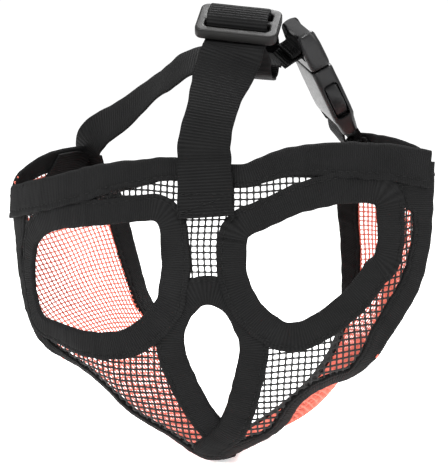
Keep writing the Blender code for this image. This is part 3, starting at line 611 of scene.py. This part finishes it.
def cheek_net(name, node, rows, level, shear):
    """level is the place along the cheek, from 0 to 1, where the strands lie level with the free edge.
    shear is how far the cross strands are pulled off square."""
    count, columns = rows.shape[:2]
    flat_front, flat_back = unrolled(rows)
    here = int(level * count)
    way = unit(flat_back[here + 12] - flat_back[here - 12])
    turn = np.array([[way[0], way[1]], [-way[1], way[0]]])
    t = np.linspace(-0.04, 1, columns)[:, None]
    chart = flat_front[:, None] * (1 - t) + flat_back[:, None] * t
    chart = chart @ turn.T
    edge_way = rows[:, :1] - rows[:, 1:2]
    shown = np.concatenate([rows[:, :1] + edge_way * (0.04 * (columns - 1)), rows[:, 1:]], axis=1)
    face = unit(np.cross(np.gradient(rows, axis=0), np.gradient(rows, axis=1)))
    grid = np.arange(count * columns).reshape(count, columns)
    a, b, c, d = grid[:-1, :-1], grid[1:, :-1], grid[1:, 1:], grid[:-1, 1:]
    triangles = np.concatenate([np.stack([a, b, c], -1).reshape(-1, 3),
                                np.stack([a, c, d], -1).reshape(-1, 3)])
    flat_points = np.c_[chart.reshape(-1, 2), np.zeros(count * columns)]
    tree = BVHTree.FromPolygons(flat_points.tolist(), triangles.tolist())
    low, high = chart.min(axis=(0, 1)), chart.max(axis=(0, 1))
    u = np.arange(low[0] - 25, high[0] + 25, CORAL_PITCH)
    v = np.arange(low[1] - 2, high[1] + 2, CORAL_PITCH)
    gu, gv = np.meshgrid(u, v, indexing="ij")
    wu = gu + shear * gv + 0.3 * np.sin(gv / 11 + gu / 19) + 0.12 * np.sin(gv / 5)
    wv = gv + 0.35 * np.sin(gu / 13 + gv / 27) + 0.12 * np.sin(gu / 4.7)
    place = np.zeros((*gu.shape, 3))
    normal = np.ones_like(place)
    hit = np.zeros(gu.shape, bool)
    for i, j in np.ndindex(gu.shape):
        found, _, index, _ = tree.ray_cast(Vector((wu[i, j], wv[i, j], 5)), Vector((0, 0, -1)))
        if found is None:
            continue
        corner = triangles[index]
        p, q, r = flat_points[corner, :2]
        s = np.linalg.solve(np.array([q - p, r - p]).T + np.eye(2) * 1e-12,
                            np.array([wu[i, j], wv[i, j]]) - p)
        share = np.array([1 - s.sum(), s[0], s[1]])
        place[i, j] = share @ shown.reshape(-1, 3)[corner]
        normal[i, j] = share @ face.reshape(-1, 3)[corner]
        hit[i, j] = True
    keep = hit[1:, 1:] & hit[:-1, 1:] & hit[1:, :-1] & hit[:-1, :-1]
    made, area = net(name, place, unit(normal), keep, CORAL_NET, CORAL_STRAND)
    fixed(made, node, "mask")


def rim_tape():
    """The tape folded over the free edge of both cheeks."""
    stations = np.concatenate([LEFT_ROWS[4:], RIGHT_ROWS[-2:3:-1]])
    reach = np.linalg.norm(np.diff(stations, axis=1), axis=2)
    length = reach.sum(axis=1)
    from_edge = length[:, None] - np.c_[np.zeros(len(stations)), np.cumsum(reach, axis=1)]
    edge = stations[:, -1]
    arc = travelled(edge)
    along = np.arange(0, arc[-1], TAPE_RIB)
    width = np.minimum(1.0, 0.8 * length / TAPE_WIDTH)

    def blend_rows(values):
        return interpolate(along, arc, values)

    def surface(distance):
        far = np.interp(arc, along, np.broadcast_to(distance, along.shape)) * width
        found = np.zeros_like(edge)
        for k in range(len(stations)):
            d = from_edge[k][::-1]
            found[k] = interpolate(far[k:k + 1], d, stations[k, ::-1])[0]
            if far[k] < 0:
                found[k] = edge[k] + unit(edge[k] - stations[k, -3]) * -far[k]
        return blend_rows(found)

    middle_out = unit(np.cross(np.gradient(edge, axis=0), stations[:, -1] - stations[:, -5]))
    normal = unit(blend_rows(middle_out))
    made = folded("neck_rim_tape", along, surface, lambda d: normal, lambda share: FIRST_LAYER, 51)
    fixed(made, "neck_rim_binding", "mask")
    sewn = surface(STITCH_LINE)
    stitches("neck_rim_stitches", [sewn, sewn], [normal, -normal], [FIRST_LAYER + 0.07] * 2, made)


def bindings():
    edge = [(-93, 109), *FACE_LEFT[1:-1], *FACE_RIGHT[:-1], (89, 127)]
    flat = lambda share, x: FIRST_LAYER
    over = lambda share, x: FIRST_LAYER + (SECOND_LAYER - FIRST_LAYER) * share ** 1.5
    ends = lambda share, x: FIRST_LAYER + (THIRD_LAYER - FIRST_LAYER) * share ** 1.5 * np.clip(
        np.maximum((-x - 22) / 14, (x - 42) / 14), 0, 1)
    tapes = [
        ("face_edge_tape", "face_edge_binding", edge, -1, flat, 11, False,
         [(0, 17), (0.035, 14), (0.08, 6), (0.15, 4.8), (0.25, 5), (0.4, 5.2), (0.48, 10.5), (0.5, 13),
          (0.52, 13), (0.54, 10.5), (0.57, 8), (0.62, 7), (0.74, 8), (0.8, 9.5), (0.86, 9), (0.91, 8.3),
          (0.935, 8.8), (0.945, 14), (0.96, 17), (1, 19)]),
        ("brow_tape", "brow_binding", BROW, 1, ends, 21, False,
         [(0, 13.3), (0.24, 13.3), (0.34, 10.5), (0.42, 8.8), (0.5, 8.4), (0.6, 9), (0.7, 11.3),
          (0.8, 13.8), (1, 14.5)]),
        ("left_eye_tape", "left_eye_binding", LEFT_EYE, -1, over, 31, True,
         [(0, 10), (0.07, 11.5), (0.14, 11), (0.2, 9.5), (0.27, 9.5), (0.4, 11), (0.6, 11), (0.72, 10),
          (0.82, 7.5), (0.94, 7.5), (1, 9)]),
        ("right_eye_tape", "right_eye_binding", RIGHT_EYE, -1, over, 37, True,
         [(0, 11), (0.12, 10.3), (0.2, 11.5), (0.3, 12.5), (0.4, 11), (1, 11)])]
    for name, node, outline, sign, lift, seed, closed, widths in tapes:
        fixed(face_tape(name, outline, sign, lift, seed, closed, widths), node, "mask")
    high = SECOND_LAYER + 0.6
    rise = np.interp(np.linspace(0, 1, 50), [0, 0.2, 0.3, 1], [high, high, FIRST_LAYER, FIRST_LAYER])

    def nose(share, x):
        return np.interp(np.linspace(0, 1, len(x)), np.linspace(0, 1, 50), rise)

    fixed(face_tape("nose_tape", NOSE, 1, nose, 43), "nose_binding", "mask")


# ---- webbing

def webbing(name, path, across, width, seed, curl=((0, 1), (1, 1))):
    """Ribbed webbing along a path, with a row of points four times in each rib. curl is the share of its width
    left where it curls, as (place, share)."""
    middle, along = smooth_curve(path, RIB_PITCH / 4)
    way = smooth_curve([unit(a) for a in across], 0.001)[0]
    way = interpolate(np.linspace(0, 1, len(middle)), np.linspace(0, 1, len(way)), way)
    tangent = tangents(middle)
    side = unit(way - tangent * np.sum(way * tangent, axis=1, keepdims=True))
    face = np.cross(tangent, side)
    ribs = 0.5 + 0.5 * np.cos(2 * np.pi * along / RIB_PITCH)
    half, thick = width / 2, WEB / 2
    edge = [(half, 0, 0), (half - 0.25, 0.75, 0.2), (half - 0.9, 0.95, 0.5), (half * 0.55, 1, 1)]
    outline = [*[(-a, h, r) for a, h, r in edge], (0, 1, 1), *edge[::-1]]
    loop = [(a, h, r) for a, h, r in outline] + [(a, -h, r) for a, h, r in outline[-2:0:-1]]
    sag = 0.12 * ripple(along, seed, 45, 9)
    slip = 0.15 * ripple(along, seed + 1, 33, 7)
    share = smooth_curve(curl, 0.002)[0]
    share = np.interp(along / along[-1], share[:, 0], share[:, 1])
    rows = []
    for a, h, r in loop:
        lift = sag * (a / half) ** 2 + np.sign(h) * (abs(h) * thick + RIB_DEPTH * (1.6 * ribs * r - 1))
        rows.append(middle + side * (a * share + slip)[:, None] + face * lift[:, None])
    rows = np.stack(rows, axis=1)
    return tube_piece(name, rows, along, np.array([a for a, _, _ in loop]), BLACK_WEB)


# Slider and buckle, each in its own frame
SLIDER_CENTRE = np.array([9.0, -7.0, 182.5])
SLIDER_WIDTH, SLIDER_HEIGHT, SLIDER_THICKNESS = 34.0, 20.0, 4.4
SLIDER_BAR = 3.6
LONG = unit([0.994, -0.02, -0.105])
LEAN = math.radians(55)
UP = np.array([0, math.sin(LEAN), math.cos(LEAN)])
UP = unit(UP - LONG * (UP @ LONG))
OUT = np.cross(LONG, UP)
BEHIND = -(SLIDER_THICKNESS / 2 + 0.5 + WEB / 2)

LEFT_ANCHOR = np.array([-67.5, 31.5, 129.5])
RIGHT_ANCHOR = np.array([51.5, 31.5, 137.0])
BUCKLE_FOOT = np.array([49.5, 29.5, 140.0])
BUCKLE_Z = unit(np.array([31.5, 9.0, 181.0]) - BUCKLE_FOOT)
BUCKLE_Y = np.array([-0.88, -0.27, -0.40])
BUCKLE_Y = unit(BUCKLE_Y - BUCKLE_Z * (BUCKLE_Y @ BUCKLE_Z))
BUCKLE_X = np.cross(BUCKLE_Y, BUCKLE_Z)
BUCKLE_WIDTH, BUCKLE_DEPTH = 28.0, 9.6
PLUG_WEB = 40.8
ARM_ROOT = 8.6


def on_slider(height, out, along=0.0):
    return SLIDER_CENTRE + UP * height + OUT * out + LONG * along


def on_buckle(x, y, z):
    return BUCKLE_FOOT + BUCKLE_X * x + BUCKLE_Y * y + BUCKLE_Z * z


def straps():
    sewn = [(0.5, 106), (0, 112), (-0.5, 120), (-1, 127)]
    x, z = np.array(sewn).T
    lifts = THIRD_LAYER + np.array([0.6, 0.6, 0.5, 0.6])
    forehead = face_points(x, z) + face_normals(x, z) * lifts[:, None]
    rise = [(-1, -38, 135), (0.7, -32.5, 146), (3, -25, 157), (6, -18, 167)]
    behind = [on_slider(h, BEHIND - 0.1) for h in (-13, -7, 0, 7, 12.5)]
    over = [on_slider(16, BEHIND - 0.4), (8.4, 14, 188.5), (8.8, 19.5, 184), (9.8, 21.5, 177), (11, 20, 170),
            (11, 14, 163.6), (10.5, 6.5, 161)]
    across = [(1, 0, 0)] * 5 + [(1, 0.08, -0.02), (1, 0.05, -0.06), (1, 0, -0.09)] + [LONG] * 12
    main = webbing("head_strap_run", [*forehead, *rise, *behind, *over], across, HEAD_WEBBING, seed=5,
                   curl=((0, 0.9), (0.14, 0.87), (0.22, 0.84), (0.3, 0.82), (0.37, 0.9), (0.44, 1), (0.7, 1),
                         (1, 1)))
    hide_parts("head_strap")
    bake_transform(main)

    hump = [(-8.0, BEHIND + 0.1), (-6.6, BEHIND + 0.5), (-5.4, -2.0), (-5.1, 0.5), (-4.6, 2.8), (-3.0, 4.2),
            (-0.6, 4.9), (2.0, 5.3), (4.2, 5.2), (5.7, 4.3), (6.2, 2.6), (5.7, 0.4), (5.6, -2.0),
            (6.6, BEHIND + 0.5), (8.0, BEHIND + 0.1)]
    path = [on_slider(h, o) for h, o in hump]
    over_bar = webbing("head_strap_over_bar", path, [LONG] * len(path), HEAD_WEBBING, seed=9)
    fixed(over_bar, "head_strap", "slider")

    back = [(10.6, 8.5, 161.1), (10.5, 3.5, 161.2), (10, -4.5, 163.2), (10, -7.8, 167.5),
            on_slider(-8.5, -7.4), on_slider(-3.5, BEHIND - 2.2), on_slider(2.6, BEHIND - 1.7)]
    loop = webbing("head_strap_return", back, [LONG] * len(back), HEAD_WEBBING, seed=12)
    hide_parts("head_strap_loop")
    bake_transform(loop)

    path = [(-61.6, 38.6, 118), (-62.8, 36.5, 124), (-63.3, 35.5, 127.5), (-61.8, 33.3, 132),
            (-56, 30, 137.3), (-47, 26.2, 143), (-35, 21, 152), (-24.5, 15, 160), (-14.5, 9.5, 166),
            (-3, 7, 169.5), (8, 7, 169.5), (17, 8, 168.5), on_buckle(0, 12.8, PLUG_WEB - 0.3)]
    across = [(-0.78, 0.57, 0.27)] * 3
    across += [(-0.68, 0.65, 0.33), (-0.52, 0.76, 0.38), (-0.38, 0.83, 0.4), (-0.29, 0.9, 0.3),
               (-0.39, 0.87, 0.3), (-0.3, 0.83, 0.4), (-0.2, 0.85, 0.45), (-0.2, 0.86, 0.42),
               (-0.3, 0.88, 0.34), BUCKLE_X]
    neck = webbing("neck_strap_run", path, across, NECK_WEBBING, seed=15)
    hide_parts("neck_strap")
    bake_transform(neck)

    wrap = [(13.4, -0.25), (11, -0.2), (8, 0), (5, 0), (2.2, -0.1), (-1.4, -0.2), (-2.95, 1.0), (-3.1, 2.9),
            (-2.4, 4.8), (0, 5.5), (2.5, 4.5), (3.8, 2.8), (5.6, 2.0), (9, 1.9)]
    path = [on_buckle(0, y, PLUG_WEB + z) for y, z in wrap]
    tail = webbing("neck_strap_fold", path, [BUCKLE_X] * len(path), NECK_WEBBING, seed=18)
    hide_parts("neck_strap_tail")
    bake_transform(tail)

    turn = [(2.2, -10), (3.0, -6.0), (3.5, -3.2), (2.9, 0.8), (2.0, 4.0), (0, 4.7), (-2.0, 4.0), (-2.9, 0.8),
            (-3.5, -3.2), (-3.0, -6.0), (-1.2, -10)]
    path = [on_buckle(0, y, z) for y, z in turn]
    tab = webbing("socket_tab_fold", path, [BUCKLE_X] * len(path), NECK_WEBBING, seed=21)
    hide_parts("socket_tab")
    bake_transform(tab)
    sewn_box("forehead_sewing", 11.0, "mask", "forehead_box_stitch")
    behind_slider = [on_slider(h, BEHIND - 1.7 - WEB * 0.62) for h in (-1.6, 0.4, 2.2)]
    sewn_patch("slider_sewing", behind_slider, -OUT, LONG, 11.0, "slider", "sewn_end_tack")
    above_fold = [on_buckle(0, y, PLUG_WEB + 2.75) for y in (5.8, 7.2, 8.6)]
    sewn_patch("fold_sewing", above_fold, BUCKLE_Z, BUCKLE_X, 8.5, "plug", "tail_tack")


def sewn_box(name, half, body, node):
    """Four rows of stitches round a box and two across it, on the sewn end of the head strap."""
    lines, normals = [], []
    low, high = 107.2, 114.8
    lift = THIRD_LAYER + 0.6 + WEB / 2
    corners = [(-half, low), (half, low), (half, high), (-half, high)]
    for first, last in ((0, 1), (1, 2), (2, 3), (3, 0), (0, 2), (3, 1)):
        (x0, z0), (x1, z1) = corners[first], corners[last]
        x, z = np.linspace(x0, x1, 30), np.linspace(z0, z1, 30)
        lines.append(face_points(x + 0.2, z))
        normals.append(face_normals(x + 0.2, z))
    made = stitches(name, lines, normals, [lift] * len(lines))
    fixed(made, node, body)


def sewn_patch(name, middle, normal, across, half, body, node):
    """A row of stitches either side of each place in middle, half wide."""
    offsets = across * np.linspace(-half, half, 20)[:, None]
    lines = [place + offsets for place in middle]
    made = stitches(name, lines, [np.tile(normal, (20, 1))] * len(lines), [0.1] * len(lines))
    fixed(made, node, body)


def sewn_ends():
    """The ends of the neck webbing under the cheeks' rim, and the sewing over them."""
    for side, rows, anchor, sign, node, tack in (
            ("left", LEFT_ROWS, LEFT_ANCHOR, 1, "neck_strap_sewn_end", "left_anchor_tack"),
            ("right", RIGHT_ROWS, RIGHT_ANCHOR, -1, "socket_tab_sewn_end", "right_anchor_tack")):
        edge = rows[:, -1]
        nearest = int(np.argmin(np.linalg.norm(edge - anchor, axis=1)))
        arc = travelled(edge)
        chosen = np.nonzero(np.abs(arc - arc[nearest]) <= NECK_WEBBING / 2)[0]
        stations = rows[chosen]
        normal = unit(np.cross(np.gradient(edge, axis=0), rows[:, -1] - rows[:, -6]))[chosen] * sign
        inward = unit(stations[:, -4] - stations[:, -1])

        lift = FIRST_LAYER + TAPE / 2 + WEB / 2 + 0.1
        along = np.linspace(1.5, 15, 24)
        stub = []
        for t in along:
            centre = stations[:, -1] + inward * t
            over, under = centre + normal * (lift + WEB / 2), centre + normal * (lift - WEB / 2)
            stub.append(np.concatenate([over, under[::-1]]))
        count = len(chosen)
        spread = np.r_[np.linspace(0, NECK_WEBBING, count), np.linspace(NECK_WEBBING, 0, count)]
        made = tube_piece(node.replace("sewn_end", "stub"), np.array(stub), along, spread, BLACK_WEB)
        fixed(made, node, "mask")
        lines = [(stations[:, -1] + inward * t)[2:-2] for t in (3.2, 5.4, 7.6)]
        lifts = [FIRST_LAYER + TAPE / 2 + 0.1] * 3
        thread = stitches(side + "_anchor_sewing", lines, [-normal[2:-2]] * 3, lifts)
        fixed(thread, tack, "mask")


def chin_tape():
    start, end = face_points(np.array(2.0), np.array(0.5)), np.array(LEFT_RIM[-1], float)
    path = [start * (1 - t) + end * t - np.array([0, 0, FIRST_LAYER + 0.3]) for t in (0.04, 0.3, 0.55, 0.8)]
    middle, along = smooth_curve(path, 0.8)
    half = TAPE_WIDTH / 2
    loop = [(-half, 0), (-half + 0.4, 0.4), (-2.2, 0.5), (0, 0.42), (2.2, 0.5), (half - 0.4, 0.4), (half, 0),
            (half - 0.4, -0.4), (2.2, -0.45), (0, -0.45), (-2.2, -0.45), (-half + 0.4, -0.4)]
    uneven = np.array([0, 0, 0.12]) * ripple(along, 61, 20, 4)[:, None]
    rows = np.stack([middle + np.array([a, 0, 0.3 * abs(a) - h * 0.9]) + uneven for a, h in loop], axis=1)
    made = tube_piece("chin_tape", rows, along, np.array([a for a, _ in loop]), BLACK_TAPE)
    fixed(made, "chin_seam_tape", "mask")


# ---- hard parts

def rounded_rectangle(width, height, radius, corner=8):
    points = []
    for cx, cy, start in ((1, 1, 0), (-1, 1, 90), (-1, -1, 180), (1, -1, 270)):
        for k in range(corner + 1):
            angle = math.radians(start + 90 * k / corner)
            points.append((cx * (width / 2 - radius) + radius * math.cos(angle),
                           cy * (height / 2 - radius) + radius * math.sin(angle)))
    return np.array(points)


def shape_object(name, points, faces, matrix):
    """A mesh in its own frame of millimetres, ready for booleans."""
    mesh = bpy.data.meshes.new(name)
    mesh.from_pydata((np.asarray(points, float) * 0.001).tolist(), [],
                     [tuple(int(i) for i in f) for f in faces])
    made = placed(name, mesh)
    made.matrix_world = matrix
    outward(made)
    return made


def loft_shape(name, sections, matrix):
    rows = np.array(sections)
    return shape_object(name, rows.reshape(-1, 3), loft(rows), matrix)


def slab(name, width, depth, low, high, radius, matrix, edge=0.5, corner=6):
    """A block along z with rounded corners and softened ends."""
    sections = []
    rims = [(low, edge), (low + edge * 0.3, edge * 0.3), (low + edge, 0)]
    for z, inset in [*rims, *[(low + high - z, inset) for z, inset in rims[::-1]]]:
        outline = rounded_rectangle(width - 2 * inset, depth - 2 * inset, max(0.15, radius - inset), corner)
        sections.append([(x, y, z) for x, y in outline])
    return loft_shape(name, sections, matrix)


def applied(obj):
    """The object's mesh once its modifiers are made part of it."""
    graph = bpy.context.evaluated_depsgraph_get()
    mesh = bpy.data.meshes.new_from_object(obj.evaluated_get(graph))
    obj.modifiers.clear()
    obj.data = mesh
    return mesh


def combine(base, others, operation):
    for other in others:
        change = base.modifiers.new("cut", "BOOLEAN")
        change.operation = operation
        change.object = other
        change.solver = "EXACT"
        applied(base)
        bpy.data.objects.remove(other)
    return base


def harden(obj, material, width=0.35, angle=35):
    """Softens the edges of a moulded piece and gives it its plastic."""
    edge = obj.modifiers.new("soft_edges", "BEVEL")
    edge.width = width * 0.001
    edge.segments = 3
    edge.limit_method = "ANGLE"
    edge.angle_limit = math.radians(angle)
    edge.use_clamp_overlap = True
    edge.harden_normals = False
    mesh = applied(obj)
    mesh.transform(obj.matrix_world)
    obj.matrix_world = Matrix.Identity(4)
    mesh.materials.clear()
    mesh.materials.append(material)
    mesh.shade_smooth()
    bpy.context.view_layer.objects.active = obj
    obj.select_set(True)
    bpy.ops.object.shade_smooth_by_angle(angle=math.radians(40))
    obj.select_set(False)
    return obj


def frame_matrix(place, x_axis, y_axis, z_axis):
    turn = Matrix((Vector(x_axis), Vector(y_axis), Vector(z_axis))).transposed().to_4x4()
    return Matrix.Translation(Vector(row(place))) @ turn


def slider_piece():
    """Outer frame lofted between two rounded rectangles, with a round bar across its middle."""
    matrix = frame_matrix(SLIDER_CENTRE, LONG, UP, OUT)
    outer = rounded_rectangle(SLIDER_WIDTH, SLIDER_HEIGHT, 3.4, 10)
    inner = rounded_rectangle(SLIDER_WIDTH - 2 * 3.7, SLIDER_HEIGHT - 2 * SLIDER_BAR, 1.8, 10)
    half = SLIDER_THICKNESS / 2
    side = [(0, 0.0), (0.01, 0.7), (0.05, 0.88), (0.14, 0.98), (0.25, 1.0)]
    section = [*side, *[(1 - t, h) for t, h in side[::-1]]]
    ring = section + [(t, -h) for t, h in section[-2:0:-1]]
    rows = np.array([[(*(o * (1 - t) + i * t), h * half) for t, h in ring] for o, i in zip(outer, inner)])
    frame_ring = shape_object("slider_frame", rows.reshape(-1, 3), loft(rows, closed=True), matrix)
    bar_outline = rounded_rectangle(SLIDER_BAR, SLIDER_THICKNESS, 1.1, 5)
    bar = loft_shape("slider_bar", [[(x, y, z) for y, z in bar_outline] for x in (-14.4, -7, 0, 7, 14.4)],
                     matrix)
    made = combine(frame_ring, [bar], "UNION")
    made = harden(made, GREY, 0.2, 50)
    fixed(made, "strap_slider", "slider")


def body_shape(name, profile, matrix, radius=2.4, corner=7):
    """A moulded body lofted through rounded rectangles, each a place along z, a width and a depth."""
    sections = []
    for z, width, depth in profile:
        outline = rounded_rectangle(width, depth, min(radius, width / 2 - 0.1, depth / 2 - 0.1), corner)
        sections.append([(x, y, z) for x, y in outline])
    return loft_shape(name, sections, matrix)


def buckle_pieces():
    def at_buckle(x=0, y=0):
        return frame_matrix(on_buckle(x, y, 0), BUCKLE_X, BUCKLE_Y, BUCKLE_Z)

    def recesses(width, low, high):
        """Cutters that thin the body on both wide sides, where the webbing passes."""
        return [slab("recess", width, 5.4, low, high, 0.8, at_buckle(y=y)) for y in (-5.1, 5.1)]

    matrix = at_buckle()
    w, d = BUCKLE_WIDTH, BUCKLE_DEPTH
    profile = [(0, w - 5.0, d - 4.4), (0.3, w - 3.8, d - 3.4), (1.2, w - 2.6, d - 2.4),
               (6.5, w - 1.6, d - 1.2), (8.5, w - 0.5, d - 0.2), (12, w, d), (24, w, d),
               (28, w - 0.7, d - 0.1), (31.6, w - 0.9, d - 0.1), (32.6, w - 1.3, d - 0.5),
               (33, w - 2.2, d - 1.3)]
    socket = body_shape("socket_shell", profile, matrix)
    cavity = slab("cavity", 25.6, 6.3, 8, 40, 1.0, matrix, 0.4)
    window = slab("window", w + 8, 6.4, 9.2, 25.9, 0.6, matrix, 1.6)
    slot = slab("slot", 22, d + 6, 2.8, 6.4, 0.8, matrix)
    combine(socket, [cavity, window, slot, *recesses(22, -5.2, 2.9)], "DIFFERENCE")
    harden(socket, CHARCOAL, 0.3)
    fixed(socket, "buckle_socket", "neck_yoke")

    profile = [(33.5, w - 2.2, d - 1.6), (33.9, w - 1.2, d - 0.8), (35, w - 0.8, d - 0.6),
               (38, w - 0.9, d - 0.6), (43.5, w - 1.4, d - 0.8), (48.2, w - 2.4, d - 1.6),
               (49.4, w - 3.2, d - 2.6), (49.9, w - 4.6, d - 4.2)]
    plug = body_shape("plug_body", profile, matrix)
    guide = slab("guide", 6, 3.6, 13, 35.5, 1.0, matrix, 0.9)
    combine(plug, [guide], "UNION")
    slot = slab("slot", 21.4, d + 6, 38.3, 41.9, 0.8, matrix)
    notches = [slab("notch", 5.8, 6.2, 31.6, 34.95, 0.4, at_buckle(x=x), 0.2) for x in (-ARM_ROOT, ARM_ROOT)]
    combine(plug, [slot, *recesses(21.4, 41.3, 52), *notches], "DIFFERENCE")
    harden(plug, CHARCOAL, 0.3)
    fixed(plug, "buckle_plug", "plug")

    inner = [(6.4, 34.7), (6.4, 31), (9.3, 27), (10.5, 23.6), (10.9, 16), (9.5, 9.4)]
    pad = [(11.3, 9.3), (12.8, 11), (13.7, 13.6), (14.2, 16.6), (14.2, 19.4), (13.8, 22.2), (13.1, 24.4),
           (12.1, 25.4)]
    root = [(11.7, 28.5), (10.8, 31), (10.8, 34.7)]
    outline = smooth_curve([*inner, *pad, *root], 0.6)[0]
    inwards = unit(outline.mean(axis=0) - outline)
    rims = [(-2.75, 0.5), (-2.55, 0.15), (-2.15, 0)]
    layers = [*rims, (0, 0), *[(-y, inset) for y, inset in rims[::-1]]]
    for name, sign, body in (("latch_front", -1, "front_arm"), ("latch_back", 1, "back_arm")):
        rows = [[(sign * x, y, z) for x, z in outline + inwards * inset] for y, inset in layers]
        arm = loft_shape(name, rows, matrix)
        harden(arm, CHARCOAL, 0.15, 60)
        fixed(arm, "latch_arm_front" if sign < 0 else "latch_arm_back", body)


# ---- studio

def studio():
    scene = bpy.context.scene
    scene.view_settings.view_transform = "Standard"
    low = CAD_BOX[0][2]
    floor = bpy.data.meshes.new("floor")
    floor.from_pydata([(-3, -3, low), (3, -3, low), (3, 3, low), (-3, 3, low)], [], [(0, 1, 2, 3)])
    plane = placed("floor", floor)
    pale, tree, shader = new_material("pale_floor", 0.9)
    paint = ramp(tree, noise(tree, 3, 2), (0.93, 0.93, 0.93), (0.96, 0.96, 0.96))
    plug_in(tree, shader, {"Base Color": paint, "Emission Color": (1, 1, 1, 1), "Emission Strength": 0.5})
    floor.materials.append(pale)

    world = bpy.data.worlds.new("studio")
    world.use_nodes = True
    sky = world.node_tree
    backdrop = sky.nodes["Background"]
    backdrop.inputs["Color"].default_value = (1, 1, 1, 1)
    seen = sky.nodes.new("ShaderNodeLightPath")
    strength = math_node(sky, "ADD", math_node(sky, "MULTIPLY", seen.outputs["Is Camera Ray"], 0.45), 0.6)
    sky.links.new(strength, backdrop.inputs["Strength"])
    scene.world = world

    def area(name, place, size, power):
        light = bpy.data.lights.new(name, "AREA")
        light.size = size
        light.energy = power
        lamp = placed(name, light)
        lamp.location = place
        lamp.rotation_euler = (Vector((0, -0.04, 0.03)) - Vector(place)).to_track_quat("-Z", "Y").to_euler()

    area("key", (-0.4, -0.55, 0.95), 0.4, 14)
    area("fill", (0.8, -0.5, 0.5), 0.5, 5)
    area("top", (0.15, 0.4, 1.0), 0.5, 14)

    camera = bpy.data.cameras.new("camera")
    camera.sensor_width = 36
    camera.lens = camera.sensor_width * CAMERA_DISTANCE / PIXEL / 464
    camera.clip_end = 50
    eye = placed("camera", camera)
    turn, rise = math.radians(7.5), math.radians(6.5)
    back = Vector((math.sin(turn) * math.cos(rise), -math.cos(turn) * math.cos(rise), math.sin(rise)))
    aim = Vector(row((2, 0, 96)))
    eye.location = aim + back * CAMERA_DISTANCE
    eye.rotation_euler = back.to_track_quat("Z", "Y").to_euler()
    scene.camera = eye


face_net()
cheek_net("left_net", "left_cheek_net", LEFT_ROWS, 0.5, 0.22)
cheek_net("right_net", "right_cheek_net", RIGHT_ROWS, 0.5, 0.08)
bindings()
rim_tape()
chin_tape()
straps()
sewn_ends()
slider_piece()
buckle_pieces()
studio()
